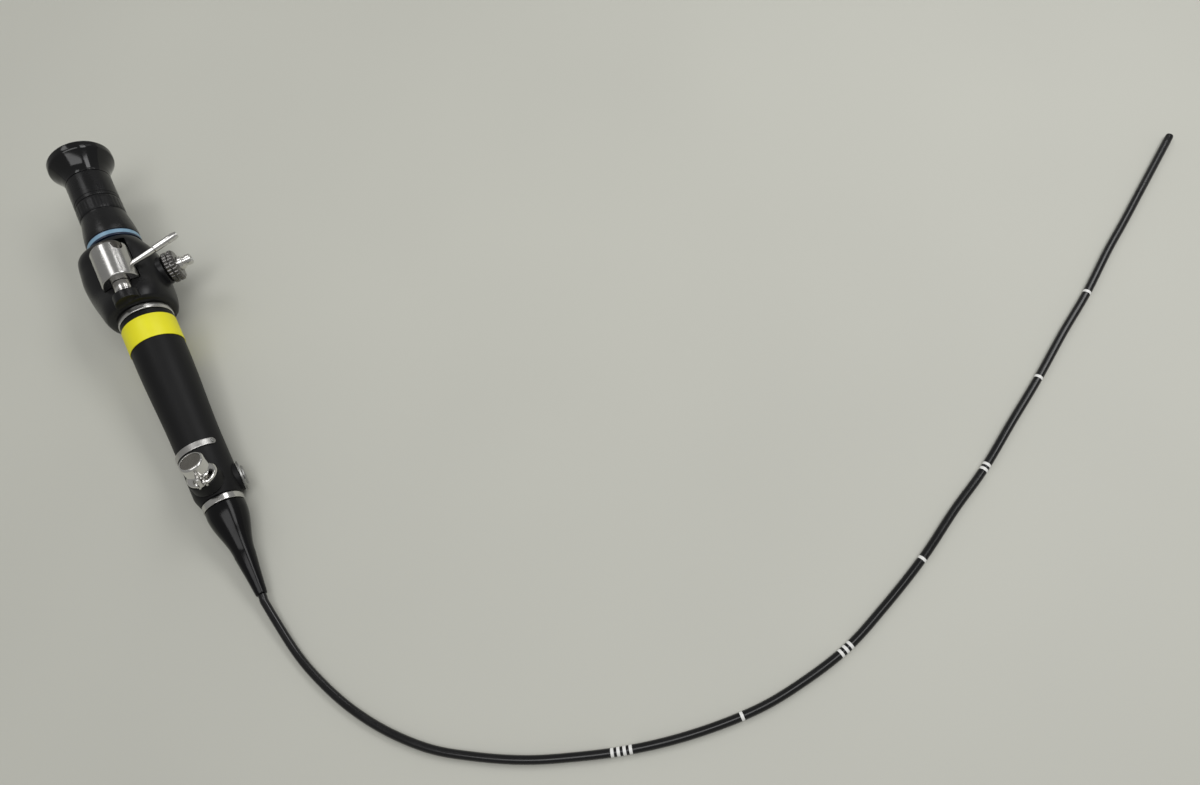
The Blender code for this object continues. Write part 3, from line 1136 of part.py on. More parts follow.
def bending_section(start, heading):
    """A fixed base, links that each turn about an upright rivet line, and the lens tip."""
    base = frame("bend_base", None, at=start, turn=(0, 0, heading))
    seat = BASE_LENGTH
    bend_link("bend_base_ring", base, seat, tongue=False, back=GAP)
    at = frame("bend_hinge_1", base, at=(seat, 0, 0))
    for k in range(1, LINK_COUNT + 1):
        bend_link("bend_link_%d" % k, at, LINK_PITCH)
        at = frame("bend_hinge_%d" % (k + 1), at, at=(LINK_PITCH, 0, 0))
    distal_tip(at)
    length = seat + LINK_COUNT * LINK_PITCH
    lie = (0, math.pi / 2, 0)
    tube("bending_cover", COVER_RADIUS, COVER_RADIUS - COVER_WALL, GAP,
         length + TIP_SHOULDER - GAP, RUBBER, base, 16, turn=lie)
    rod("bending_core", CORE_RADIUS, GAP, length + TIP_SHOULDER - GAP, FIBRE, base, 8, turn=lie)


def distal_tip(hinge):
    """The rigid lens end: a stepped black body with objective, two lights and the channel."""
    wall = shaped_tube("tip_wall", LINK_OUTER, LINK_INNER,
                       link_outline(LINK_CREST, TIP_SHOULDER + 1.0 * MM, True), hinge)
    lie = (0, math.pi / 2, 0)
    head = turned("distal_tip", [
        (0, TIP_LENGTH),
        (TIP_RADIUS - TIP_EDGE, TIP_LENGTH),
        (TIP_RADIUS - TIP_EDGE * 0.3, TIP_LENGTH - TIP_EDGE * 0.3),
        (TIP_RADIUS, TIP_LENGTH - TIP_EDGE),
        (TIP_RADIUS, TIP_SHOULDER),
        (0, TIP_SHOULDER),
    ], BLACK, hinge, 24, turn=lie)
    eye = rod("tip_eye", RIVET_RADIUS + RIVET_PLAY, -LINK_OUTER - 0.3 * MM,
              LINK_OUTER + 0.3 * MM, None, hinge, 8)
    fuse(head, wall)
    deep = TIP_LENGTH - TIP_GLASS_DEPTH
    lens_y = 0.8 * MM
    light_z = 0.95 * MM
    face = TIP_LENGTH + 1.0 * MM
    play = 0.08 * MM
    cut(head, eye,
        rod("tip_lens_seat", TIP_LENS_RADIUS + play, deep, face, None, hinge, 12, turn=lie,
            at=(0, lens_y, 0)),
        rod("tip_channel", TIP_CHANNEL_RADIUS, deep - 2 * MM, face, None, hinge, 12, turn=lie,
            at=(0, -lens_y, 0)),
        rod("tip_light_seat_1", TIP_LIGHT_RADIUS + play, deep, face, None, hinge, 10, turn=lie,
            at=(0, 0.05 * MM, light_z)),
        rod("tip_light_seat_2", TIP_LIGHT_RADIUS + play, deep, face, None, hinge, 10, turn=lie,
            at=(0, 0.05 * MM, -light_z)))
    rod("objective_lens", TIP_LENS_RADIUS, deep + play, TIP_LENGTH - 0.05 * MM, GLASS, hinge,
        12, turn=lie, at=(0, lens_y, 0))
    for number, sign in ((1, 1), (2, -1)):
        rod("light_lens_%d" % number, TIP_LIGHT_RADIUS, deep + play, TIP_LENGTH - 0.05 * MM,
            GLASS, hinge, 10, turn=lie, at=(0, 0.05 * MM, sign * light_z))


def suction_line_route():
    """From the valve stem, down the front of the grip, to the back of the channel port."""
    stem = STEM_LOW - GAP
    middle = SPIGOT_RADIUS - SUCTION_LINE_RADIUS - 1.2 * MM
    inner = GRIP_WAIST_RADIUS - GRIP_WALL - SUCTION_LINE_RADIUS - 0.5 * MM
    return smooth_line([
        (0, -VALVE_OFFSET, stem), (0, -VALVE_OFFSET, stem - 0.8 * MM),
        (0, 0.7 * MM - VALVE_OFFSET, stem - 1.7 * MM),
        (0, 2.2 * MM - VALVE_OFFSET, stem - 2.1 * MM),
        (0, -middle - 2.2 * MM, stem - 2.2 * MM), (0, -middle - 0.8 * MM, stem - 2.9 * MM),
        (0, -middle - 0.2 * MM, stem - 4.4 * MM), (0, -middle, GRIP_TOP - 1.5 * MM),
        (0, -inner, GRIP_TOP - 9 * MM), (0, -inner, -0.5 * PORT_HEIGHT),
        (0, -inner, SUCTION_LINE_RISE - PORT_HEIGHT)], 30)


def build():
    route = suction_line_route()
    ferrule_low = eyepiece_end()
    control_housing(route)
    suction_valve()
    light_post()
    thumb_lever()
    grip(route)
    boot_and_ring()
    channel_port()
    retaining_strap()
    vent_valve()
    inner_lines(ferrule_low, route)
    start, heading = insertion_tube()
    bending_section(start, heading)


build()
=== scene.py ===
"""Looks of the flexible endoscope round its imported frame.

The handle's own axes are read from the frame's joints: z along the handle towards the eyepiece
with zero at the clamp ring, x towards the light post, y towards the thumb lever.
"""
import json
import math

import bmesh
import bpy
from mathutils import Matrix, Vector


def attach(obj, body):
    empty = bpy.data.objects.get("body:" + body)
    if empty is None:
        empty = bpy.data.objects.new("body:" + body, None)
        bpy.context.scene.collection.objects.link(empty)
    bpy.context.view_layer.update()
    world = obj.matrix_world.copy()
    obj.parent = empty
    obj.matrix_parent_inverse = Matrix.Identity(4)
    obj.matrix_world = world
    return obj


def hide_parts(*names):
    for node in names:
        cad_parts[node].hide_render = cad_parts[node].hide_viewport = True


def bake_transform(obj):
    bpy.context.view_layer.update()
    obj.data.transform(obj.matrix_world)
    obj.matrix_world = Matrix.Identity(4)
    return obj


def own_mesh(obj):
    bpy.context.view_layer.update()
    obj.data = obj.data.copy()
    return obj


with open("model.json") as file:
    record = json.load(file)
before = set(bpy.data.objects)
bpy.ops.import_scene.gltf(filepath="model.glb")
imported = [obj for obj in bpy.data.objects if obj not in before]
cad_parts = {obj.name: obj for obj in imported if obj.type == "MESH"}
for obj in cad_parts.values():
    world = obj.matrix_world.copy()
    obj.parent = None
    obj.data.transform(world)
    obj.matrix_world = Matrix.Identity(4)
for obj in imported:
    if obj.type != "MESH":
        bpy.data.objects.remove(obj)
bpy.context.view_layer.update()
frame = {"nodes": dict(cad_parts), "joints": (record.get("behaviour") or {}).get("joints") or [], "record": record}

# Lengths in this file are in millimetres; MM turns them into the metres of the scene
MM = 0.001
CM_PER_METRE = 100
ROUND, FINE, SLIM = 96, 128, 40  # sides of a turned form, of a large one, and of one on the tube
WELD = 0.001
SHARP = math.radians(32)
QUARTER = math.pi / 2
ARC_STEPS = 5  # lines in an eased corner
ARC_SHARE = 0.49  # of the sides beside it, at most
SPAN_STEPS = 24  # lines between two given points of a smooth curve

# Camera over the table, in the photograph's place
CAMERA_PLACE = (261.6, -199.9, 404.0)
TABLE_UP = Vector((-0.116, -0.398, -0.91)).normalized()  # as the camera has it: right, down, ahead
PHOTO_WIDTH = 1200
FOCAL_PIXELS = 950
SENSOR_WIDTH = 36.0
CLIP_METRES = (0.01, 50.0)

# The insertion tube: its route over the table and its end at the bending section
TUBE_RADIUS = 1.85
TUBE_LEAD = 5.0
TUBE_GAP = 0.3
TUBE_ROUTE = [
    (82.5, -138.1, 2.10), (95.3, -150.7, 1.88), (110.0, -161.9, 1.85), (126.6, -171.1, 1.85),
    (144.9, -177.8, 1.85), (163.0, -180.8, 1.85), (182.0, -182.2, 1.85), (199.9, -181.6, 1.85),
    (225.1, -178.9, 1.85), (250.1, -173.5, 1.85), (275.1, -165.0, 1.85), (293.7, -155.4, 1.85),
    (314.6, -141.1, 1.85), (331.8, -124.4, 1.85), (349.7, -104.7, 1.85), (365.5, -84.4, 1.85),
    (380.0, -67.1, 1.85), (395.0, -46.1, 1.85), (409.5, -26.0, 1.85), (424.1, -4.3, 1.85),
    (438.0, 15.2, 1.85), (451.7, 36.9, 1.85), (462.1, 52.2, 1.85), (471.8, 66.9, 1.85),
]
TUBE_POINTS = 420
# Depth rings: centimetres from the tip, and how many stand side by side
DEPTH_RINGS = ((10, 1), (15, 1), (20, 2), (25, 1), (30, 3), (35, 1), (40, 4))
RING_WIDTH = 1.3
RING_PITCH = 2.5
RING_PROUD = 0.02
RING_ROOT = 0.97  # inner radius as a share of the tube's

# Bending section
LINK_COUNT = 7
LINK_PITCH = 4.0
BASE_LENGTH = 3.5
TIP_LENGTH = 7.0
TIP_SHOULDER = 2.3
COVER_WALL = 0.25
COVER_GAP = 0.05
CORE_RADIUS = 0.6
SLEEVE_RINGS = 24  # steps along the sleeve over one hinge

# Stations along the handle from the clamp ring, reaches from its axis and radii that pieces share
HOUSING_FOOT = 1.8
RING_LOW, RING_TOP = 43.5, 47.1
COLLAR_LOW, COLLAR_TOP = 47.4, 62.6
DIOPTRE_LOW, DIOPTRE_TOP = 62.9, 70.9
BARREL_LOW, BARREL_TOP = 71.2, 86.8
CUP_LOW, CUP_TOP = 87.1, 102.3
GRIP_TOP, GRIP_TAPER_TOP, GRIP_TAPER = -1.8, -20.8, 52.0
GRIP_EDGE, GRIP_LOW = -97.9, -102.5
BOOT_TOP, BOOT_MOUTH = -106.1, -150.5
NECK, OCULAR_SEAT, COLLAR_FOOT = 11.0, 8.5, 12.8
CLAMP_RADIUS, SPIGOT_RADIUS = 12.9, 10.4
GRIP_RADIUS, GRIP_WAIST = 12.5, 11.0
PORT_STATION, STRAP_STATION, VENT_STATION = -95.1, -77.0, -94.6
POST_STATION, LEVER_STATION, NOZZLE_STATION = 21.0, 22.0, 21.6
LEVER_REACH, VALVE_REACH, NOZZLE_REACH = 10.3, 15.0, 7.5
HINGE_REACH, HINGE_HEIGHT, HINGE_PIN = 8.4, 6.8, 0.6
SCREW_BORE = 0.65
NOZZLE_TILT, PORT_TILT = math.radians(79.2), math.radians(62)
VENT_TURN, SCREW_TURN, NOTCH_TURN = math.radians(13), math.radians(46), math.radians(48)


def joint(name):
    return next(j for j in frame["joints"] if j["name"] == name)


def axes_frame(origin, right, along):
    """A frame from its origin, its x direction and its z direction."""
    along = Vector(along).normalized()
    back = along.cross(Vector(right)).normalized()
    right = back.cross(along)
    turn = Matrix((right, back, along)).transposed().to_4x4()
    return Matrix.Translation(origin) @ turn


def moved(x=0.0, y=0.0, z=0.0):
    return Matrix.Translation((x * MM, y * MM, z * MM))


def turned_about(angle, axis):
    return Matrix.Rotation(angle, 4, axis)


def spot_on(place, height):
    """The point at a height along a frame's z axis."""
    return place @ Vector((0, 0, height * MM))


def added(name, data):
    """A new object of the scene."""
    made = bpy.data.objects.new(name, data)
    bpy.context.scene.collection.objects.link(made)
    return made


ALONG = Vector(joint("dioptre_turn")["axis"])
HANDLE = axes_frame(Vector(joint("dioptre_turn")["pos_m"]) - ALONG * DIOPTRE_LOW * MM,
                    joint("lever_pivot")["axis"], ALONG)


# Camera

def set_camera():
    data = bpy.data.cameras.new("camera")
    data.sensor_width = SENSOR_WIDTH
    data.lens = SENSOR_WIDTH * FOCAL_PIXELS / PHOTO_WIDTH
    data.clip_start, data.clip_end = CLIP_METRES
    camera = added("camera", data)
    camera.location = Vector(CAMERA_PLACE) * MM
    # Rows: the scene's axes as the camera has them; columns: the camera's axes in the scene
    across = (Vector((1, 0, 0)) - TABLE_UP * TABLE_UP.x).normalized()
    right, down, ahead = Matrix((across, TABLE_UP.cross(across), TABLE_UP)).col
    camera.rotation_mode = 'QUATERNION'
    camera.rotation_quaternion = Matrix((right, -down, -ahead)).transposed().to_quaternion()
    bpy.context.scene.camera = camera


set_camera()


# Shader maths

class Signal:
    """A socket that takes part in Python expressions; each operation adds its Math node."""

    def __init__(self, tree, socket):
        self.tree = tree
        self.socket = socket

    def maths(self, operation, other):
        node = self.tree.nodes.new("ShaderNodeMath")
        node.operation = operation
        for slot, value in zip(node.inputs, (self, other)):
            if isinstance(value, Signal):
                self.tree.links.new(value.socket, slot)
            else:
                slot.default_value = value
        return Signal(self.tree, node.outputs[0])

    def __add__(self, other):
        return self.maths('ADD', other)

    __radd__ = __add__

    def __mul__(self, other):
        return self.maths('MULTIPLY', other)


# Noise steps to a turn round a piece and to a centimetre along it, which makes lathe lines
LATHE_LINES = (6.0, 900.0, 1.0)


class Finish:
    """A material being made: one Principled shader and the nodes that feed it."""

    def __init__(self, name, colour, roughness, metallic=0.0, **sockets):
        self.material = bpy.data.materials.new(name)
        self.material.use_nodes = True
        self.tree = self.material.node_tree
        self.shader = self.tree.nodes["Principled BSDF"]
        self.set(Base_Color=(*colour, 1.0), Roughness=roughness, Metallic=metallic, **sockets)
        self.place = self.node("ShaderNodeTexCoord").outputs["Object"]
        self.wrap = self.node("ShaderNodeTexCoord").outputs["UV"]

    def node(self, kind, **inputs):
        made = self.tree.nodes.new(kind)
        for name, value in inputs.items():
            self.feed(made.inputs[name.replace("_", " ")], value)
        return made

    def feed(self, slot, value):
        if isinstance(value, Signal):
            self.tree.links.new(value.socket, slot)
        elif isinstance(value, bpy.types.NodeSocket):
            self.tree.links.new(value, slot)
        else:
            slot.default_value = value

    def set(self, **sockets):
        for name, value in sockets.items():
            self.feed(self.shader.inputs[name.replace("_", " ")], value)
        return self

    def noise(self, scale, detail, roughness=0.55, where=None):
        """Noise with so many features to a metre of the piece, or to a unit of another place."""
        made = self.node("ShaderNodeTexNoise", Vector=where or self.place, Scale=scale,
                         Detail=detail, Roughness=roughness)
        return Signal(self.tree, made.outputs[0])

    def patches(self, scale, low, high, detail=4.0, roughness=0.55):
        """Noise stretched so that low becomes 0 and high becomes 1, held in between."""
        made = self.node("ShaderNodeMapRange", Value=self.noise(scale, detail, roughness),
                         From_Min=low, From_Max=high)
        return Signal(self.tree, made.outputs[0])

    def mix(self, factor, first, second):
        made = self.tree.nodes.new("ShaderNodeMix")
        made.data_type = 'RGBA'
        for slot, value in ((0, factor), (6, first), (7, second)):
            self.feed(made.inputs[slot], (*value, 1.0) if isinstance(value, tuple) else value)
        return made.outputs[2]

    def bump(self, height, strength, depth):
        made = self.node("ShaderNodeBump", Height=height, Strength=strength, Distance=depth * MM)
        return self.set(Normal=made.outputs[0])


def moulded_black():
    """Satin moulded plastic of the housing and barrel: spark texture, smudges, a little dust."""
    plain, dusty = (0.0055, 0.0055, 0.006), (0.035, 0.035, 0.036)
    made = Finish("moulded_black", plain, 0.3, Specular_IOR_Level=0.28)
    grain = made.noise(2600, 2.0)
    smudge = made.patches(55, 0.35, 0.7)
    dust = made.patches(900, 0.7, 0.84, 5.0, 0.7)
    made.set(Base_Color=made.mix(dust * 0.22 + smudge * 0.06, plain, dusty),
             Roughness=0.22 + smudge * 0.12 + grain * 0.06)
    return made.bump(grain, 0.25, 0.04).material


def grip_black():
    """The grip's satin coat: even, with a faint orange peel, handling marks, a little dust."""
    plain, dusty = (0.006, 0.006, 0.0065), (0.03, 0.03, 0.031)
    made = Finish("grip_black", plain, 0.46, Specular_IOR_Level=0.2)
    smudge = made.patches(38, 0.35, 0.72)
    dust = made.patches(1100, 0.7, 0.84, 4.0, 0.7)
    made.set(Base_Color=made.mix(dust * 0.2 + smudge * 0.08, plain, dusty),
             Roughness=0.42 + smudge * 0.13)
    return made.bump(made.noise(700, 2.0), 0.12, 0.05).material


def polished_black(name, low, spread):
    """Hard black plastic with a polished skin, rubbed a little duller by handling."""
    plain, dusty = (0.004, 0.004, 0.0045), (0.03, 0.03, 0.031)
    made = Finish(name, plain, low, Specular_IOR_Level=0.38)
    smudge = made.patches(70, 0.35, 0.7)
    dust = made.patches(1000, 0.7, 0.84, 5.0, 0.7)
    made.set(Base_Color=made.mix(dust * 0.22, plain, dusty), Roughness=low + smudge * spread)
    return made.bump(made.noise(900, 2.0), 0.06, 0.04).material


def rubber_black():
    """Dull rubber with a fine grain and a greyish bloom."""
    plain, bloomed = (0.008, 0.008, 0.0085), (0.025, 0.025, 0.026)
    made = Finish("rubber_black", plain, 0.62)
    grain = made.noise(3200, 2.0)
    bloom = made.patches(120, 0.4, 0.75, 3.0)
    made.set(Base_Color=made.mix(bloom * 0.4, plain, bloomed), Roughness=0.55 + grain * 0.15)
    return made.bump(grain, 0.35, 0.04).material


def gloss_black(name, low, specular):
    """Smooth glossy polymer of the boot, the insertion tube and the bending section's cover."""
    made = Finish(name, (0.004, 0.004, 0.0045), low, Specular_IOR_Level=specular)
    made.set(Roughness=low + made.patches(90, 0.3, 0.75) * 0.13)
    return made.bump(made.noise(400, 2.0), 0.05, 0.05).material


def ring_white():
    """Printed white of the depth rings, a little worn."""
    made = Finish("ring_white", (0.82, 0.82, 0.8), 0.35)
    worn = made.patches(1500, 0.5, 0.85)
    made.set(Base_Color=made.mix(worn * 0.4, (0.84, 0.84, 0.82), (0.6, 0.6, 0.58)))
    return made.material


def label_yellow():
    """Satin yellow film, its colour a little uneven and its surface faintly creased."""
    made = Finish("label_yellow", (0.86, 0.8, 0.01), 0.5)
    cloud = made.patches(60, 0.3, 0.75, 3.0)
    made.set(Base_Color=made.mix(cloud, (0.88, 0.83, 0.012), (0.8, 0.72, 0.008)),
             Roughness=0.42 + cloud * 0.12)
    return made.bump(made.noise(240, 3.0), 0.15, 0.1).material


def enamel(name, colour):
    """Satin paint of the colour ring, a little darker where it is worn."""
    made = Finish(name, colour, 0.38)
    worn = made.patches(500, 0.45, 0.85)
    dark = tuple(part * 0.75 for part in colour)
    made.set(Base_Color=made.mix(worn, colour, dark), Roughness=0.33 + worn * 0.15)
    return made.material


def turned_steel(name, shade=0.6, low=0.14, spread=0.12):
    """Polished steel with fine lathe lines round it, light smears and a few dull spots."""
    clean = (shade, shade * 0.985, shade * 0.96)
    smeared = (shade * 0.8, shade * 0.78, shade * 0.75)
    made = Finish(name, clean, low, 1.0)
    wrap = made.node("ShaderNodeMapping", Vector=made.wrap, Scale=LATHE_LINES).outputs[0]
    lines = made.noise(1.0, 3.0, where=wrap)
    smear = made.patches(160, 0.35, 0.75)
    made.set(Base_Color=made.mix(smear * 0.5, clean, smeared),
             Roughness=low + smear * spread + lines * 0.05)
    return made.bump(lines, 0.08, 0.03).material


def plain_metal(name, colour, roughness):
    """Metal with a cloudy tarnish, without lathe lines."""
    made = Finish(name, colour, roughness, 1.0)
    cloud = made.patches(400, 0.3, 0.75)
    dark = tuple(part * 0.78 for part in colour)
    made.set(Base_Color=made.mix(cloud, colour, dark), Roughness=roughness + cloud * 0.12)
    return made.material


def clear_glass():
    """Clear glass with a trace of wiping marks."""
    made = Finish("clear_glass", (0.9, 0.94, 0.96), 0.03, Transmission_Weight=1.0, IOR=1.5)
    return made.set(Roughness=0.02 + made.patches(300, 0.5, 0.8, 3.0) * 0.04).material


def fibre_tan():
    """Bundled fibres, seen at a cut end."""
    made = Finish("fibre_tan", (0.42, 0.34, 0.2), 0.55)
    strands = made.noise(5200, 2.0)
    made.set(Base_Color=made.mix(strands, (0.3, 0.23, 0.13), (0.55, 0.46, 0.28)))
    return made.bump(strands, 0.4, 0.05).material


MOULDED = moulded_black()
GRIP = grip_black()
CUP = polished_black("cup_black", 0.07, 0.08)
COLLAR = polished_black("collar_black", 0.24, 0.14)
COVER = gloss_black("cover_black", 0.18, 0.5)
RUBBER = rubber_black()
GLOSS = gloss_black("gloss_black", 0.1, 0.2)
TUBE = gloss_black("tube_black", 0.14, 0.45)
WHITE = ring_white()
YELLOW = label_yellow()
LIGHT_BLUE = enamel("enamel_light_blue", (0.21, 0.36, 0.49))
NAVY = enamel("enamel_navy", (0.004, 0.014, 0.04))
STEEL = turned_steel("turned_steel")
BRIGHT = turned_steel("bright_steel", 0.7, 0.1, 0.1)
VALVE_STEEL = turned_steel("valve_steel", 0.52, 0.17, 0.08)
BRUSHED = turned_steel("brushed_steel", 0.5, 0.3, 0.1)
PISTON = plain_metal("piston_steel", (0.13, 0.12, 0.11), 0.24)
LID_STEEL = plain_metal("lid_steel", (0.3, 0.285, 0.26), 0.22)
KNURLED = plain_metal("knurled_steel", (0.16, 0.155, 0.15), 0.22)
DULL = plain_metal("dull_steel", (0.4, 0.4, 0.39), 0.34)
BRASS = plain_metal("brass", (0.7, 0.52, 0.24), 0.3)
GLASS = clear_glass()
FIBRE = fibre_tan()

LOOKS = {
    "black_plastic": MOULDED, "gloss_black_plastic": GLOSS, "black_rubber": RUBBER,
    "tube_polymer": TUBE, "steel": STEEL, "dull_steel": DULL, "brass": BRASS, "glass": GLASS,
    "light_blue_plastic": LIGHT_BLUE, "yellow_film": YELLOW, "fibre": FIBRE,
}
SLOT_OF = {entry["node"]: entry["material_slot"] for entry in frame["record"]["subparts"]}


def dress_frame():
    """Every CAD node starts with the finish of its slot."""
    for name, node in frame["nodes"].items():
        node.data.materials.clear()
        node.data.materials.append(LOOKS[SLOT_OF[name]])


dress_frame()


# Making pieces

def mm(outline):
    """An outline given in millimetres, as metres."""
    return [tuple(value * MM for value in row) for row in outline]


def rounded(outline, closed):
    """An outline of (radius, height) or (radius, height, rounding), its corners eased by arcs."""
    spots = [Vector(row[:2]) for row in outline]
    line = []
    count = len(spots)
    for i, (spot, row) in enumerate(zip(spots, outline)):
        ease = row[2] if len(row) > 2 else 0.0
        if not ease or (not closed and i in (0, count - 1)):
            line.append(spot)
            continue
        back, ahead = ((beside - spot).normalized()
                       * min(ease, (beside - spot).length * ARC_SHARE)
                       for beside in (spots[i - 1], spots[(i + 1) % count]))
        for step in range(ARC_STEPS + 1):
            t = step / ARC_STEPS
            line.append(spot + back * (1 - t) ** 2 + ahead * t ** 2)
    return line


def wrap_uv(bm):
    """UV for a turned form about z: round it in u, along its height in centimetres in v."""
    layer = bm.loops.layers.uv.new("wrap")
    for face in bm.faces:
        turns = [math.atan2(loop.vert.co.y, loop.vert.co.x) / math.tau for loop in face.loops]
        for loop, turn in zip(face.loops, turns):
            reach = math.hypot(loop.vert.co.x, loop.vert.co.y)
            across = turn - round(turn - turns[0])
            loop[layer].uv = (across, (loop.vert.co.z + reach) * CM_PER_METRE)


def lathe(outline, closed=False, steps=ROUND):
    """An outline in metres turned about z; a closed outline makes a hollow ring."""
    bm = bmesh.new()
    verts = [bm.verts.new((spot.x, 0, spot.y)) for spot in rounded(outline, closed)]
    edges = [bm.edges.new(pair) for pair in zip(verts, verts[1:])]
    if closed:
        edges.append(bm.edges.new((verts[-1], verts[0])))
    bmesh.ops.spin(bm, geom=verts + edges, cent=(0, 0, 0), axis=(0, 0, 1), dvec=(0, 0, 0),
                   angle=math.tau, steps=steps, use_merge=True, use_duplicate=False)
    bmesh.ops.remove_doubles(bm, verts=bm.verts, dist=WELD * MM)
    bmesh.ops.recalc_face_normals(bm, faces=bm.faces)
    wrap_uv(bm)
    return bm


def hollow(outline, steps=FINE):
    """A turned ring from a closed outline in millimetres."""
    return lathe(mm(outline), True, steps)


def solid(outline, steps=ROUND):
    """A turned form from an outline in millimetres that begins and ends on its axis."""
    return lathe(mm(outline), steps=steps)


def rod(radius, low, high, steps=ROUND, ease=0.0):
    return solid([(0, high), (radius, high, ease), (radius, low, ease), (0, low)], steps)


def bevelled(bm, edges, width, segments=3):
    bmesh.ops.bevel(bm, geom=list(edges), offset=width * MM, affect='EDGES', segments=segments,
                    profile=0.5, material=-1)


def slab(low, high, ease=0.0):
    """A box between two corners, with its edges bevelled."""
    bm = bmesh.new()
    bmesh.ops.create_cube(bm, size=1)
    bmesh.ops.scale(bm, vec=[(b - a) * MM for a, b in zip(low, high)], verts=bm.verts)
    bmesh.ops.translate(bm, vec=[(a + b) / 2 * MM for a, b in zip(low, high)], verts=bm.verts)
    if ease:
        bevelled(bm, bm.edges, ease)
    return bm


def verts_in(geometry):
    return [part for part in geometry if isinstance(part, bmesh.types.BMVert)]


def as_object(name, bm, place):
    bm.transform(place)
    mesh = bpy.data.meshes.new(name)
    bm.to_mesh(mesh)
    bm.free()
    return added(name, mesh)


def surfaced(made, look):
    """Give a piece its look, and smooth shading that stops at sharp edges."""
    mesh = made.data
    mesh.materials.clear()
    mesh.materials.append(look)
    mesh.polygons.foreach_set("use_smooth", [True] * len(mesh.polygons))
    mesh.set_sharp_from_angle(angle=SHARP)


def stands_for(node):
    """Let a piece take the place of a CAD node by hiding the node."""
    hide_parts(node)


def piece(name, bm, place, look, body="handle", node=None, cutters=(), joins=()):
    """A piece from a bmesh, joined with and carved by others where they are given."""
    made = as_object(name, bm, place)
    tools = [(as_object(name + "_join", tool, where), 'UNION') for tool, where in joins]
    tools += [(as_object(name + "_cut", tool, where), 'DIFFERENCE') for tool, where in cutters]
    for tool, how in tools:
        step = made.modifiers.new(how, 'BOOLEAN')
        step.operation = how
        step.solver = 'EXACT'
        step.object = tool
    if tools:
        seen = made.evaluated_get(bpy.context.evaluated_depsgraph_get())
        mesh = bpy.data.meshes.new_from_object(seen)
        made.modifiers.clear()
        made.data = mesh
        for tool, _ in tools:
            bpy.data.objects.remove(tool, do_unlink=True)
    surfaced(made, look)
    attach(made, body)
    if node:
        stands_for(node)
    return made


def smooth_line(points, count):
    """Points at even steps along a smooth curve through the given points."""
    ends = [2 * points[0] - points[1], *points, 2 * points[-1] - points[-2]]
    fine = []
    for a, b, c, d in zip(ends, ends[1:], ends[2:], ends[3:]):
        for step in range(SPAN_STEPS):
            t = step / SPAN_STEPS
            fine.append(0.5 * (2 * b + (c - a) * t + (2 * a - 5 * b + 4 * c - d) * t * t
                               + (3 * b - a - 3 * c + d) * t ** 3))
    fine.append(points[-1])
    reach = [0.0]
    for a, b in zip(fine, fine[1:]):
        reach.append(reach[-1] + (b - a).length)
    line, at = [], 0
    for i in range(count):
        want = reach[-1] * i / (count - 1)
        while at < len(fine) - 2 and reach[at + 1] < want:
            at += 1
        share = (want - reach[at]) / (reach[at + 1] - reach[at])
        line.append(fine[at].lerp(fine[at + 1], min(max(share, 0), 1)))
    return line


# The cord: insertion tube, its depth rings and the bending section

def tube_line():
    mouth = spot_on(HANDLE, BOOT_MOUTH)
    points = [mouth - ALONG * (reach * MM) for reach in (TUBE_GAP, TUBE_LEAD / 2, TUBE_LEAD)]
    points += [Vector(point) * MM for point in TUBE_ROUTE]
    return smooth_line(points, TUBE_POINTS)


def line_length(line):
    return sum((b - a).length for a, b in zip(line, line[1:]))


def tube_skin(line):
    curve = bpy.data.curves.new("insertion_tube_skin", 'CURVE')
    curve.dimensions = '3D'
    curve.bevel_depth = TUBE_RADIUS * MM
    curve.bevel_resolution = 8
    curve.use_fill_caps = True
    spline = curve.splines.new('POLY')
    spline.points.add(len(line) - 1)
    for spot, point in zip(spline.points, line):
        spot.co = (*point, 1)
        spot.radius = 1
    spline.use_smooth = True
    curve.materials.append(TUBE)
    return added("insertion_tube_skin", curve)


BEND = axes_frame(Vector(TUBE_ROUTE[-1]) * MM, (0, 0, 1),
                  Vector(TUBE_ROUTE[-1]) - Vector(TUBE_ROUTE[-2]))
SECTION_LENGTH = BASE_LENGTH + LINK_COUNT * LINK_PITCH + TIP_LENGTH


def hinge_height(k):
    return BASE_LENGTH + LINK_PITCH * (k - 1)


def spot_along(line, back_from_end):
    """The place and direction at a distance back from the end of a line."""
    left = back_from_end
    for a, b in zip(reversed(line[:-1]), reversed(line[1:])):
        step = (b - a).length
        if step >= left:
            return b.lerp(a, left / step), (b - a).normalized()
        left -= step
    return line[0], (line[1] - line[0]).normalized()


def depth_rings(line):
    """White rings printed round the tube, counted in centimetres from the tip."""
    half, outer, inner = RING_WIDTH / 2, TUBE_RADIUS + RING_PROUD, TUBE_RADIUS * RING_ROOT
    bm = bmesh.new()
    for centimetres, count in DEPTH_RINGS:
        for k in range(count):
            back = centimetres * 10 - SECTION_LENGTH + (k - (count - 1) / 2) * RING_PITCH
            where, ahead = spot_along(line, back * MM)
            ring = hollow([(outer, half), (outer, -half), (inner, -half), (inner, half)], SLIM)
            ring.transform(axes_frame(where, (0, 0, 1), ahead))
            part = bpy.data.meshes.new("ring_part")
            ring.to_mesh(part)
            ring.free()
            bm.from_mesh(part)
            bpy.data.meshes.remove(part)
    return piece("depth_rings", bm, Matrix.Identity(4), WHITE)


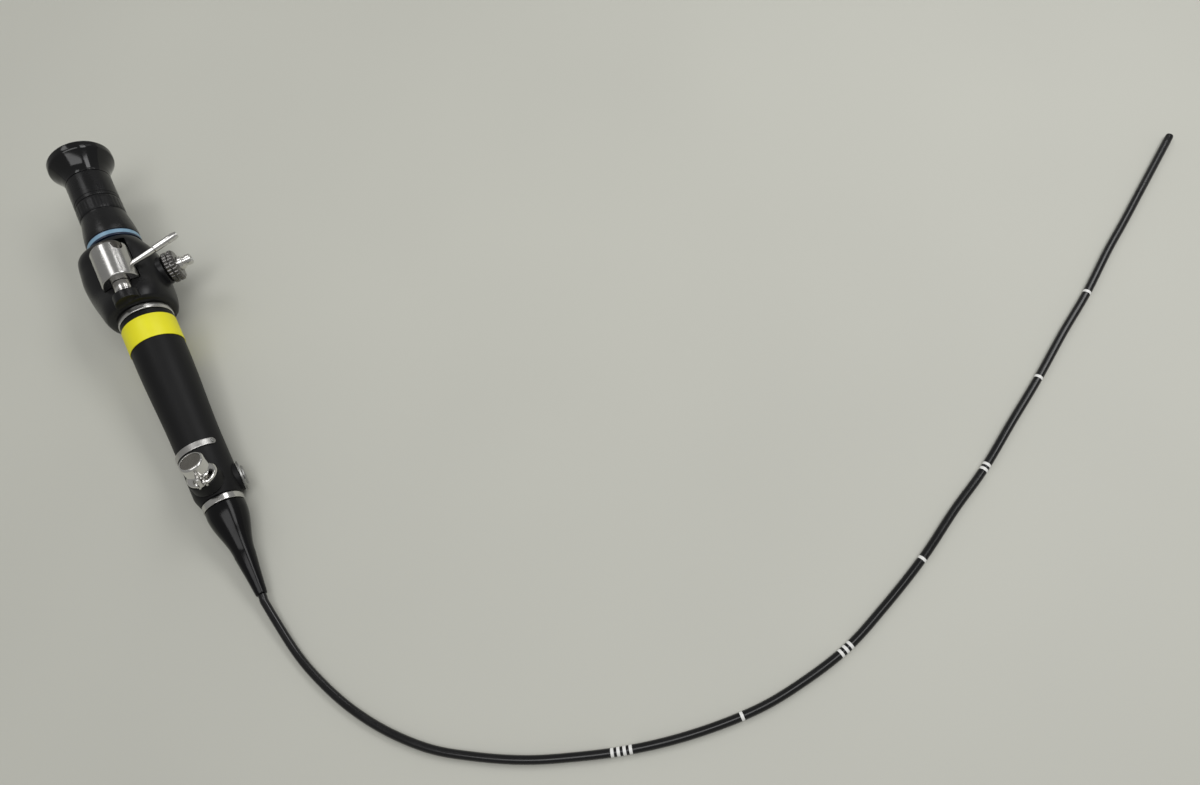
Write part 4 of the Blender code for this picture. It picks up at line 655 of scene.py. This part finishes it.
def bend_stretch(name, low, high, outer, inner, look, node):
    """The stretch of a bending sleeve over one hinge, shared between the links beside it."""
    levels = [low + (high - low) * i / SLEEVE_RINGS for i in range(SLEEVE_RINGS + 1)]
    outline = [(outer, level) for level in reversed(levels)]
    if inner:
        outline += [(inner, level) for level in levels]
    else:
        outline = [(0.0, high)] + outline + [(0.0, low)]
    made = as_object(name, lathe(mm(outline), bool(inner), SLIM), BEND)
    surfaced(made, look)
    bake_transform(made)
    stands_for(node)
    return made


def bending_sleeves():
    """The cover and the core over every hinge; the covers are returned."""
    covers = []
    last = LINK_COUNT + 1
    for k in range(1, last + 1):
        hinge = hinge_height(k)
        low = TUBE_GAP / 2 if k == 1 else hinge - LINK_PITCH / 2
        high = hinge + (TIP_SHOULDER - COVER_GAP if k == last else LINK_PITCH / 2)
        covers.append(bend_stretch("bending_cover_%d" % k, low, high, TUBE_RADIUS,
                                   TUBE_RADIUS - COVER_WALL, COVER, "bending_cover"))
        bend_stretch("bending_core_%d" % k, low, high, CORE_RADIUS, 0.0, FIBRE,
                     "bending_core")
    return covers


def distal_tip():
    """The stepped lens end with its glued shoulder; the CAD lenses stay."""
    place = BEND @ moved(z=hinge_height(LINK_COUNT + 1))
    face, foot, shoulder = TIP_LENGTH, TIP_SHOULDER, TUBE_RADIUS
    outer = shoulder - COVER_GAP
    lens_y, lens_radius, seat = 0.8, 0.6, 0.8
    light_x, light_y, light_radius = 0.95, 0.05, 0.42
    channel_radius, channel_depth = 0.6, 2.4
    seats = ((0, lens_y, lens_radius, seat), (0, -lens_y, channel_radius, channel_depth),
             (light_x, light_y, light_radius, seat), (-light_x, light_y, light_radius, seat))
    return piece("distal_tip_shell", solid([
        (0, face), (outer - 0.1, face, 0.25), (outer, face - 1.2, 0.6), (outer, foot + 1.0),
        (shoulder, foot + 0.5, 0.2), (shoulder, foot), (0, foot)], 48),
        place, MOULDED, "tip", "distal_tip",
        cutters=[(rod(radius, face - depth, face + 1.0, 24), place @ moved(x, y))
                 for x, y, radius, depth in seats])


def cord_pieces():
    line = tube_line()
    tube = tube_skin(line)
    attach(tube, "handle")
    stands_for("insertion_tube")
    covers = bending_sleeves()
    on_it = [depth_rings(line), *covers, distal_tip()]
    on_it += [frame["nodes"][name] for name in frame["record"]["physics"]["cord_nodes"]
              if name not in ("insertion_tube", "bending_cover", "bending_core", "distal_tip")]
    line_length(line)


cord_pieces()


# Frames of the handle's sub-parts

SIDE_ON = turned_about(QUARTER, 'Y')
VALVE = HANDLE @ moved(y=-VALVE_REACH)
NOZZLE = VALVE @ moved(x=NOZZLE_REACH, z=NOZZLE_STATION) @ turned_about(NOZZLE_TILT, 'Y')
POST = HANDLE @ moved(z=POST_STATION) @ SIDE_ON
LEVER = HANDLE @ moved(y=LEVER_REACH, z=LEVER_STATION)
PORT = HANDLE @ moved(y=-GRIP_WAIST, z=PORT_STATION) @ turned_about(PORT_TILT, 'X')
LID = PORT @ moved(y=-HINGE_REACH, z=HINGE_HEIGHT)
VENT = HANDLE @ moved(z=VENT_STATION) @ turned_about(VENT_TURN, 'Z') @ SIDE_ON
STRAP_SCREW = (HANDLE @ moved(z=STRAP_STATION) @ turned_about(SCREW_TURN, 'Z')
               @ turned_about(QUARTER, 'X'))


# Eyepiece end

def ribbed_ring(radius, depth, ribs, low, high, bore, edge):
    """A ring with round-topped ribs along its outside and plain chamfered ends."""
    sides_per_rib, levels, roundness = 8, 6, 0.7
    bm = bmesh.new()
    bmesh.ops.create_circle(bm, segments=ribs * sides_per_rib, radius=radius * MM)
    for vert in bm.verts:
        turn = math.atan2(vert.co.y, vert.co.x)
        crest = abs(math.cos(turn * ribs / 2)) ** roundness
        vert.co *= (radius - depth * (1 - crest)) / radius
    bmesh.ops.translate(bm, vec=(0, 0, (low + edge) * MM), verts=bm.verts)
    middle = list(bm.edges)

    def raised(edges, height, reach=None):
        """The edges drawn out to a height, and in to a radius where one is given."""
        made = bmesh.ops.extrude_edge_only(bm, edges=edges)["geom"]
        for vert in verts_in(made):
            vert.co.z = height * MM
            if reach:
                vert.co.xy = vert.co.xy.normalized() * (reach * MM)
        return [part for part in made if isinstance(part, bmesh.types.BMEdge)]

    upper = middle
    for step in range(1, levels + 1):
        upper = raised(upper, low + edge + (high - low - 2 * edge) * step / levels)
    chamfer = radius - 2 * depth
    upper = raised(raised(upper, high, chamfer), high, bore)
    lower = raised(raised(middle, low, chamfer), low, bore)
    bmesh.ops.bridge_loops(bm, edges=upper + lower)
    bmesh.ops.recalc_face_normals(bm, faces=bm.faces)
    wrap_uv(bm)
    return bm


def eyepiece():
    top, low = CUP_TOP, CUP_LOW
    dish, step = top - 4.6, top - 7.0
    rim, lip, opening = 15.9, 13.4, 6.8
    piece("eyecup_shell", hollow([
        (lip, top, 0.3), (rim - 0.8, top, 0.6), (rim, top - 0.8, 0.6), (rim, top - 4.2, 0.9),
        (15.0, top - 5.5, 0.9), (13.4, top - 8.0, 2.2), (11.8, top - 10.8, 2.2),
        (NECK, low + 1.0, 1.0), (NECK, low, 0.2), (OCULAR_SEAT, low), (OCULAR_SEAT, step),
        (opening, step), (opening, dish, 0.3), (8.6, dish, 0.6), (12.2, top - 1.6, 1.0)]),
        HANDLE, CUP, node="eyecup")
    low, high, groove = BARREL_LOW, BARREL_TOP, NECK - 0.2
    piece("eyepiece_barrel_shell", hollow([
        (NECK, high, 0.3), (NECK, low + 2.2), (groove, low + 2.0), (groove, low + 1.5),
        (NECK, low + 1.3), (NECK, low, 0.3), (OCULAR_SEAT, low), (OCULAR_SEAT, high)]),
        HANDLE, MOULDED, node="eyepiece_barrel")
    ring = ribbed_ring(radius=NECK + 0.15, depth=0.12, ribs=30, low=DIOPTRE_LOW,
                       high=DIOPTRE_TOP, bore=OCULAR_SEAT + 0.05, edge=0.7)
    piece("dioptre_ring_ribbed", ring, HANDLE, MOULDED, "dioptre", "dioptre_ring")
    low, high = COLLAR_LOW, COLLAR_TOP
    piece("dioptre_collar_shell", hollow([
        (NECK, high, 0.2), (NECK, high - 0.6, 0.3), (12.3, high - 8.0, 2.0),
        (COLLAR_FOOT + 0.05, low + 2.6, 1.0), (COLLAR_FOOT, low, 0.25),
        (OCULAR_SEAT, low), (OCULAR_SEAT, high)]), HANDLE, COLLAR, node="dioptre_collar")
    blue_low, blue_high = RING_LOW + 1.1, RING_TOP - 0.4
    for name, low, high, look in (("navy_low", RING_LOW, blue_low, NAVY),
                                  ("blue_band", blue_low, blue_high, LIGHT_BLUE),
                                  ("navy_high", blue_high, RING_TOP, NAVY)):
        piece("colour_ring_" + name, hollow([
            (COLLAR_FOOT, high, 0.08), (COLLAR_FOOT, low, 0.08), (OCULAR_SEAT, low),
            (OCULAR_SEAT, high)]), HANDLE, look, node="colour_ring")


# Control housing

# Height over the foot, then reach to the right, left, front and back
HOUSING_SECTIONS = [
    (0.0, 14.2, 14.6, 15.2, 15.2), (1.2, 15.9, 16.2, 16.8, 16.6), (6.0, 17.1, 17.5, 17.2, 17.2),
    (16.0, 17.6, 19.6, 14.2, 17.2), (26.0, 17.8, 20.6, 13.8, 17.2),
    (32.0, 16.6, 20.2, 13.8, 16.6), (37.0, 14.4, 19.6, 14.2, 15.0),
    (40.2, 12.9, 18.9, 13.2, 13.6), (41.4, 12.2, 17.4, 12.4, 12.4),
]
HOUSING_SQUARENESS = 2.25  # 2 is an ellipse
FOOT_EASE = {0.0: 0.8, 0.08: 0.45, 0.25: 0.2, 0.5: 0.06}  # height over the foot: how far in
TOP_EASE = ((0.90, 0.0), (0.945, 0.06), (0.975, 0.22), (0.993, 0.48))  # share of reach, depth
WALL_LOW, WALL_EDGE, WALL_STEPS = 1.2, 0.8, 40  # between the foot's ease and the top's


def between(rows, at):
    """A row of values at a height, on smooth curves through the given rows."""
    last = len(rows) - 1
    i = max(k for k in range(last) if rows[k][0] <= at or k == 0)
    a, b, c, d = (rows[min(max(k, 0), last)] for k in (i - 1, i, i + 1, i + 2))
    span = c[0] - b[0]
    t = (at - b[0]) / span
    values = []
    for k in range(1, len(b)):
        steepest = 3 * abs(c[k] - b[k])
        lead = (c[k] - a[k]) / (c[0] - a[0]) * span
        trail = (d[k] - b[k]) / (d[0] - b[0]) * span
        lead, trail = (max(min(slope, steepest), -steepest) for slope in (lead, trail))
        values.append((2 * t ** 3 - 3 * t ** 2 + 1) * b[k] + (t ** 3 - 2 * t ** 2 + t) * lead
                      + (3 * t ** 2 - 2 * t ** 3) * c[k] + (t ** 3 - t ** 2) * trail)
    return values


def housing_body():
    """A turned blank whose every point is moved out to the moulded housing's sections."""
    top = HOUSING_SECTIONS[-1][0]
    wall = top - WALL_EDGE - WALL_LOW
    levels = [*FOOT_EASE, WALL_EDGE]
    levels += [WALL_LOW + wall * i / WALL_STEPS for i in range(WALL_STEPS + 1)]
    outline = [(0, top)] + [(share, top - depth) for share, depth in TOP_EASE]
    outline += [(1, level) for level in reversed(levels)] + [(0, 0)]
    bm = solid(outline, FINE)
    for vert in bm.verts:
        level = vert.co.z / MM
        right, left, front, back = between(HOUSING_SECTIONS, min(max(level, 0.0), top))
        reach = math.hypot(vert.co.x, vert.co.y) / MM
        if reach > 0:
            c, s = vert.co.x / MM / reach, vert.co.y / MM / reach
            inset = next((far for low, far in FOOT_EASE.items() if abs(level - low) < 0.01), 0)
            x = math.copysign(abs(c) ** (2 / HOUSING_SQUARENESS), c)
            y = math.copysign(abs(s) ** (2 / HOUSING_SQUARENESS), s)
            x *= (right if c > 0 else left) - inset
            y *= (back if s > 0 else front) - inset
            vert.co.xy = (x * reach * MM, y * reach * MM)
        vert.co.z = (HOUSING_FOOT + level) * MM
    bmesh.ops.recalc_face_normals(bm, faces=bm.faces)
    return bm


def control_housing():
    post_boss, valve_boss = rod(7.4, 0, 18.5, ease=0.6), rod(6.5, 2.3, 6.9, ease=0.4)
    chassis_bore, ocular_bore = rod(4.5, -10, 60), rod(OCULAR_SEAT, 41.3, 60)
    valve_recess, stem_bore = rod(9.1, 13.7, 39.6, ease=0.8), rod(4.6, 5.9, 14.0)
    post_bore = rod(3.7, 0, 30)
    wheel_room = slab((-4.9, 2, 16.4), (4.9, 15.85, 27.6))
    lever_slot = slab((-2.05, LEVER_REACH, 14.0), (2.05, 40, 30.0), 0.6)
    shell = piece("control_housing_shell", housing_body(), HANDLE, MOULDED,
                  node="control_housing", joins=[(post_boss, POST), (valve_boss, VALVE)],
                  cutters=[(chassis_bore, HANDLE), (ocular_bore, HANDLE), (valve_recess, VALVE),
                           (stem_bore, VALVE), (post_bore, POST), (wheel_room, HANDLE),
                           (lever_slot, HANDLE)])
    edges = shell.modifiers.new("edges", 'BEVEL')
    edges.width = 0.25 * MM
    edges.segments = 2
    edges.limit_method = 'ANGLE'
    edges.angle_limit = math.radians(50)
    edges.use_clamp_overlap = True


# Suction valve

def suction_valve():
    top, low, outer, inner, stem_bore, tube = 33.2, 14.0, 8.7, 7.3, 2.0, 1.75
    floor, notch_low, notch_radius = low + 2.0, top - 1.9, 2.8
    notch = rod(notch_radius, 6.0, 16.0, 48)
    slot = slab((-notch_radius, -16, notch_low), (notch_radius, -6, 50))
    turn = VALVE @ turned_about(NOTCH_TURN, 'Z')
    piece("suction_cylinder_shell", hollow([
        (7.6, top, 0.15), (8.4, top, 0.25), (outer, top - 0.6, 0.3), (outer, low + 0.6, 0.3),
        (8.2, low, 0.2), (stem_bore, low), (stem_bore, floor), (inner, floor),
        (inner, top - 0.5)]), VALVE, VALVE_STEEL, node="suction_cylinder",
        cutters=[(notch, turn @ moved(z=notch_low) @ turned_about(QUARTER, 'X')),
                 (slot, turn), (rod(tube, -5, 5, 48), NOZZLE)])
    end, bore, root = 25.5, 0.9, 1.45
    piece("suction_nozzle_shell", hollow([
        (bore, end, 0.1), (root, end, 0.2), (2.05, end - 2.7, 0.1), (tube, end - 2.8),
        (1.95, end - 5.4, 0.1), (tube, end - 5.5), (tube, 12.9, 0.2), (root, 12.5),
        (root, 0), (bore, 0)], 48), NOZZLE, BRIGHT, node="suction_nozzle")
    head, foot, stem, groove = 13.7, 6.2, 4.3, 4.1
    piece("suction_stem_shell", hollow([
        (stem, head, 0.15), (stem, 9.0), (groove, 8.8), (groove, 8.4), (stem, 8.2),
        (stem, foot), (stem_bore, foot), (stem_bore, head)], 64), VALVE, BRIGHT,
        node="suction_stem")
    crown, skirt, side, room = top + 2.4, 19.3, 6.95, 5.2
    piece("suction_button", solid([
        (0, crown - 0.95), (2.6, crown - 0.85, 1.5), (5.2, crown - 0.1, 0.8),
        (6.2, crown, 0.4), (side, crown - 0.6, 0.5), (side, skirt, 0.2), (room, skirt),
        (room, crown - 5.0), (0, crown - 5.0)]), VALVE, PISTON, "piston", "suction_piston")
    return_spring(16.3, crown - 5.3)


def return_spring(low, high):
    """A wound wire between its seat and the button."""
    radius, wire, turns, steps = 4.2, 0.35, 5, 36
    bm = bmesh.new()
    made = bmesh.ops.create_circle(bm, cap_ends=True, segments=12, radius=wire * MM)["verts"]
    bmesh.ops.rotate(bm, verts=made, cent=(0, 0, 0), matrix=turned_about(QUARTER, 'X'))
    bmesh.ops.translate(bm, vec=(radius * MM, 0, (low + wire) * MM), verts=made)
    rise = (high - low - 2 * wire) * MM / (turns * steps)
    bmesh.ops.spin(bm, geom=list(bm.verts) + list(bm.edges) + list(bm.faces), cent=(0, 0, 0),
                   axis=(0, 0, 1), dvec=(0, 0, rise), angle=math.tau * turns,
                   steps=turns * steps, use_merge=False, use_duplicate=False)
    bmesh.ops.recalc_face_normals(bm, faces=bm.faces)
    spring = piece("piston_spring_coil", bm, VALVE, DULL, node="piston_spring")
    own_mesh(spring)


# Light post

def light_post():
    end, root, body, neck, throat = 31.3, 9.5, 3.4, 2.7, 2.35
    bore, glass, glass_seat = 1.5, 2.0, 30.1
    piece("light_post_shell", hollow([
        (glass, end, 0.1), (2.45, end, 0.25), (neck, 31.0, 0.15), (neck, 28.9, 0.1),
        (throat, 28.7), (throat, 28.1), (neck, 27.9, 0.1), (neck, 27.2, 0.1),
        (body, 26.8, 0.2), (body, root), (bore, root), (bore, glass_seat),
        (glass, glass_seat)], 64), POST, BRIGHT, node="light_post")
    ring = ribbed_ring(radius=7.8, depth=0.45, ribs=24, low=18.8, high=24.8, bore=3.75,
                       edge=0.9)
    bottom, low, high, beyond = 6.4, 21.5, 22.3, 9.0
    groove = hollow([(bottom, low, 0.2), (beyond, low), (beyond, high), (bottom, high, 0.2)],
                    ROUND)
    piece("light_adapter_ring_knurled", ring, POST, KNURLED, "light_adapter",
          "light_adapter_ring", cutters=[(groove, POST)])


# Thumb lever

def thumb_lever():
    hub, half_thick, half_wide, shank_end, axle = 4.2, 1.7, 2.5, 11.45, 1.85
    arm = bmesh.new()
    bmesh.ops.create_cone(arm, cap_ends=True, segments=64, radius1=hub * MM, radius2=hub * MM,
                          depth=2 * half_thick * MM)
    rims = [edge for edge in arm.edges
            if abs(edge.verts[0].co.z - edge.verts[1].co.z) < WELD * MM]
    bevelled(arm, rims, 0.35)
    shank = slab((0, -half_wide, -half_thick), (shank_end, half_wide, half_thick), 0.45)
    flat = LEVER @ turned_about(QUARTER, 'Z') @ turned_about(QUARTER, 'X')
    piece("deflection_lever_arm", arm, flat, DULL, "lever", "deflection_lever",
          joins=[(shank, flat)], cutters=[(rod(axle, -10, 10, 48), LEVER @ SIDE_ON)])
    low, high, rim = 2.0, 4.6, 5.2
    for side, sign in (("right", 1), ("left", -1)):
        piece("pull_wheel_%s_shell" % side, hollow([
            (rim, high, 0.2), (rim, 3.95, 0.15), (4.6, 3.3, 0.3), (rim, 2.65, 0.15),
            (rim, low, 0.2), (axle, low), (axle, high)], ROUND),
            LEVER @ turned_about(sign * QUARTER, 'Y'), BRASS, "lever", "pull_wheel_" + side)


def thumb_pad():
    """A rubber pad on an arc round the axle, dished, ribbed across and rounded at its ends."""
    half_width, reach, root, half_turn = 7.5, 14.6, 11.75, math.radians(17)
    ribs, rib_height, rib_roundness = 5, 0.45, 0.6
    dish_radius, narrowing, end_drop, side_drop = 60, 0.22, 0.5, 0.45
    pad = bmesh.new()
    bmesh.ops.create_grid(pad, x_segments=24, y_segments=80, size=1)
    for vert in pad.verts:
        across, along = vert.co.x, vert.co.y
        end = abs(along) ** 4
        x = half_width * (1 - narrowing * end) * across
        groove = (0.5 - 0.5 * math.cos(math.pi * (along + 1) * ribs)) ** rib_roundness
        drop = dish_radius - math.sqrt(dish_radius ** 2 - x * x) + side_drop * abs(across) ** 8
        r = reach - rib_height * groove * (1 - end) - end_drop * end - drop
        swing = half_turn * along
        vert.co = (x * MM, r * math.cos(swing) * MM, r * math.sin(swing) * MM)
    bmesh.ops.recalc_face_normals(pad, faces=pad.faces)
    under = bmesh.ops.extrude_face_region(pad, geom=list(pad.faces))["geom"]
    for vert in verts_in(under):
        swing = math.atan2(vert.co.z, vert.co.y)
        vert.co.yz = (root * MM * math.cos(swing), root * MM * math.sin(swing))
    bmesh.ops.recalc_face_normals(pad, faces=pad.faces)
    piece("thumb_pad_ribbed", pad, LEVER, RUBBER, "lever", "thumb_pad")


# Grip

def eased(t):
    return t * t * (3 - 2 * t)


def flare(radius, end_radius, start, length, steps=24):
    """Rows of an outline that swings from one radius to another on its way down."""
    shares = [i / steps for i in range(1, steps + 1)]
    return [(radius + (end_radius - radius) * eased(t), start - length * t) for t in shares]


def grip():
    bore, wall, spigot_top, roof = 4.5, 1.9, 1.5, GRIP_TOP - 4.4
    side = [(GRIP_RADIUS, GRIP_TOP, 0.4), (GRIP_RADIUS, GRIP_TAPER_TOP),
            *flare(GRIP_RADIUS, GRIP_WAIST, GRIP_TAPER_TOP, GRIP_TAPER),
            (GRIP_WAIST, GRIP_EDGE, 1.2)]
    outline = [(SPIGOT_RADIUS, spigot_top), (SPIGOT_RADIUS, GRIP_TOP), *side,
               (9.5, GRIP_LOW, 0.4), (bore, GRIP_LOW), (bore, GRIP_EDGE + 1.0),
               (GRIP_WAIST - wall, GRIP_EDGE + 3.0), (GRIP_RADIUS - wall, GRIP_TAPER_TOP),
               (GRIP_RADIUS - wall, roof), (bore, roof), (bore, spigot_top)]
    port_boss, port_bore = rod(7.4, -2.2, 3.6, ease=0.7), rod(3.7, -4.9, 9, 48)
    vent_boss, vent_bore = rod(6.6, 8.2, 11.2, ease=0.4), rod(2.55, 6.9, 16, 48)
    screw_bore = rod(SCREW_BORE, 9.8, 14.8, 24)
    piece("grip_sleeve_shell", hollow(outline), HANDLE, GRIP, node="grip_sleeve",
          joins=[(port_boss, PORT), (vent_boss, VENT)],
          cutters=[(port_bore, PORT), (vent_bore, VENT), (screw_bore, STRAP_SCREW)])
    half, outer, inner, edge = 1.5, CLAMP_RADIUS, SPIGOT_RADIUS + 0.3, 0.3
    piece("clamp_ring_shell", hollow([
        (outer - edge, half, 0.2), (outer, half - edge, 0.2), (outer, edge - half, 0.2),
        (outer - edge, -half, 0.2), (inner, -half), (inner, half)]),
        HANDLE, STEEL, node="clamp_ring")
    high, low, inner, outer = -4.8, -17.5, GRIP_RADIUS + 0.12, GRIP_RADIUS + 0.37
    piece("label_film", hollow([
        (outer, high, 0.1), (outer, low, 0.1), (inner, low), (inner, high)]),
        HANDLE, YELLOW, node="label_band")


def retaining_strap():
    """A strip bent round the front of the grip, its ends round and its edges eased."""
    inner, outer, half_width, least = 11.15, 11.75, 1.5, 0.05
    left, right = math.radians(-78), SCREW_TURN
    round_end = half_width / outer
    bm = bmesh.new()
    bmesh.ops.create_grid(bm, x_segments=90, y_segments=6, size=1)
    low, high = left - round_end, right + round_end
    for vert in bm.verts:
        turn = (low + high) / 2 + (high - low) / 2 * math.sin(vert.co.x * QUARTER)
        beyond = max(left - turn, turn - right, 0) / round_end
        half = max(half_width * math.sqrt(max(1 - beyond ** 2, 0)), least)
        vert.co = (inner * math.sin(turn) * MM, -inner * math.cos(turn) * MM,
                   (STRAP_STATION + half * vert.co.y) * MM)
    top = bmesh.ops.extrude_face_region(bm, geom=list(bm.faces))["geom"]
    for vert in verts_in(top):
        vert.co.xy *= outer / inner
    bmesh.ops.recalc_face_normals(bm, faces=bm.faces)
    rim = [edge for edge in bm.edges if len(edge.link_faces) == 2
           and edge.calc_face_angle(0) > math.radians(60)]
    bevelled(bm, rim, 0.1, 2)
    piece("retaining_strap_steel", bm, HANDLE, BRUSHED, node="retaining_strap",
          cutters=[(rod(SCREW_BORE, 8, 16, 32), STRAP_SCREW)])
    seat, shank_end, head, shank = outer + 0.15, 10.0, 0.95, 0.5
    slot = slab((-2, -0.13, seat + 0.22), (2, 0.13, 20))
    piece("strap_screw_head", solid([
        (0, seat + 0.45), (0.75, seat + 0.45, 0.2), (head, seat + 0.15, 0.1), (head, seat),
        (shank, seat), (shank, shank_end), (0, shank_end)], 32), STRAP_SCREW, DULL,
        node="strap_screw", cutters=[(slot, STRAP_SCREW)])


def boot_and_ring():
    high, low, face, side, bore = -102.8, -105.8, 9.2, 9.4, 6.4
    piece("bottom_ring_shell", hollow([
        (face, high, 0.15), (side, high - 0.2, 0.1), (side, low + 0.2, 0.1), (face, low, 0.15),
        (bore, low), (bore, high)]), HANDLE, STEEL, node="bottom_ring")
    neck, shoulder, waist, mouth, bore = 6.1, 9.1, 4.7, 2.4, 2.15
    piece("boot_shell", hollow([
        (neck, high), (neck, BOOT_TOP), (shoulder, BOOT_TOP, 0.5),
        *flare(shoulder, waist, -108.32, 22.64), (3.4, -141.62, 4.0),
        (2.55, BOOT_MOUTH + 0.4, 0.2), (mouth, BOOT_MOUTH, 0.1), (bore, BOOT_MOUTH),
        (bore, high)]), HANDLE, GLOSS, node="boot")


# Channel port, its lid and the vent valve

def channel_port():
    ear_width, ear_radius, ear_inset = 1.0, 1.4, 0.07
    under, face, flange, root = 3.9, 5.2, 7.0, 3.4
    lip, end, neck, seal_seat, channel, foot = 3.5, 10.6, 3.0, 2.1, 1.4, -4.6
    ears = []
    for x in (-2.15, 1.15):
        ears.append((slab((x, -HINGE_REACH, under), (x + ear_width, -5.5, 8.1), 0.3), PORT))
        ears.append((rod(ear_radius, x + ear_inset, x + ear_width - ear_inset, 32, ease=0.2),
                     LID @ SIDE_ON))
    piece("channel_port_shell", hollow([
        (seal_seat, end, 0.1), (lip, end, 0.2), (lip, 9.7, 0.1), (neck, 9.3, 0.2),
        (neck, 5.9, 0.4), (3.8, face, 0.2), (6.4, face, 0.3), (flange, 4.7, 0.3),
        (flange, under), (root, under), (root, foot), (channel, foot), (channel, 7.6)], ROUND),
        PORT, BRIGHT, node="channel_port", joins=ears,
        cutters=[(rod(HINGE_PIN, -5, 5, 24), LID @ SIDE_ON)])
    base, roof, top = 1.6, 5.6, 7.2
    inner, recess, rim, side = 3.85, 4.7, 5.3, 5.6
    arm = slab((-0.8, -1.3, -1.3), (0.8, 4.0, 3.6), 0.3)
    over_mouth = LID @ moved(y=HINGE_REACH)
    piece("port_lid_shell", solid([
        (0, top - 0.5), (recess, top - 0.5), (recess, top, 0.1), (rim, top, 0.25),
        (side + 0.2, top - 0.7, 0.3), (side, base + 1.5, 0.6), (side, base, 0.2),
        (inner + 0.6, base), (inner + 0.2, roof), (0, roof)]),
        over_mouth, BRIGHT, "lid", "port_lid", joins=[(arm, LID)],
        cutters=[(rod(HINGE_PIN, -5, 5, 24), LID @ SIDE_ON)])
    disc, high, low = recess - 0.05, top - 0.1, top - 0.45
    piece("port_lid_disc", solid([
        (0, high), (disc - 0.15, high, 0.15), (disc, high - 0.15, 0.1), (disc, low),
        (0, low)]), over_mouth, LID_STEEL, "lid", "port_lid")


def vent_valve():
    low, high, flange, bore = 11.5, 12.4, 7.0, 2.55
    piece("vent_flange_shell", hollow([
        (flange - 0.2, high, 0.2), (flange, high - 0.2, 0.2), (flange, low), (bore, low),
        (bore, high)], ROUND), VENT, DULL, node="vent_flange")
    low, high, side, plug, plug_end = 12.7, 13.7, 4.6, 2.2, 7.2
    slot = slab((-5, -0.55, high - 0.6), (5, 0.55, 20))
    piece("vent_cap_shell", solid([
        (0, high), (side - 0.6, high, 0.3), (side, high - 0.5, 0.3), (side, low), (plug, low),
        (plug, plug_end), (0, plug_end)]), VENT, DULL, "vent", "vent_cap",
        cutters=[(slot, VENT)])


eyepiece()
control_housing()
suction_valve()
light_post()
thumb_lever()
thumb_pad()
grip()
retaining_strap()
boot_and_ring()
channel_port()
vent_valve()


# Table, surround and lights

FLOOR_MIDDLE, FLOOR_HALF, FLOOR_DROP = 200, 6000, 0.02
SURROUND, SURROUND_STRENGTH = (0.8, 0.8, 0.78, 1), 0.38
LAMPS_AIM = (0.1, 0, 0)  # metres, as in the places and sizes of the lamps


def set_stage():
    """A large pale table and a pale surround."""
    bm = bmesh.new()
    bmesh.ops.create_grid(bm, x_segments=1, y_segments=1, size=FLOOR_HALF * MM)
    floor = as_object("floor", bm, moved(x=FLOOR_MIDDLE, z=-FLOOR_DROP))
    look = Finish("table", (0.56, 0.56, 0.5), 0.55)
    cloud = look.patches(2.4, 0.25, 0.75, 3.0)
    look.set(Base_Color=look.mix(cloud, (0.58, 0.58, 0.52), (0.52, 0.52, 0.47)))
    floor.data.materials.append(look.material)
    world = bpy.data.worlds.new("studio")
    bpy.context.scene.world = world
    world.use_nodes = True
    back = world.node_tree.nodes["Background"]
    back.inputs["Color"].default_value = SURROUND
    back.inputs["Strength"].default_value = SURROUND_STRENGTH


def lamp(name, place, size, power):
    data = bpy.data.lights.new(name, 'AREA')
    data.shape = 'RECTANGLE'
    data.size, data.size_y = size
    data.energy = power
    made = added(name, data)
    made.location = place
    toward = (Vector(LAMPS_AIM) - Vector(place)).normalized()
    made.rotation_mode = 'QUATERNION'
    made.rotation_quaternion = toward.to_track_quat('-Z', 'Y')


def set_lights():
    """Soft panels like the windows and ceiling lights that the polished steel mirrors."""
    lamp("window_left", (-0.45, 0.47, 1.05), (0.3, 0.5), 1.3)
    lamp("window_right", (0.9, 0.5, 1.05), (1.1, 0.4), 6)
    lamp("strip_far", (0.3, 0.84, 0.78), (0.06, 0.3), 0.2)
    lamp("strip_low", (0.64, 1.3, 0.66), (0.12, 0.4), 0.3)
    lamp("top_panel", (0.3, -0.3, 1.6), (1.4, 0.7), 9)


set_stage()
set_lights()
bpy.context.scene.view_settings.view_transform = 'Standard'
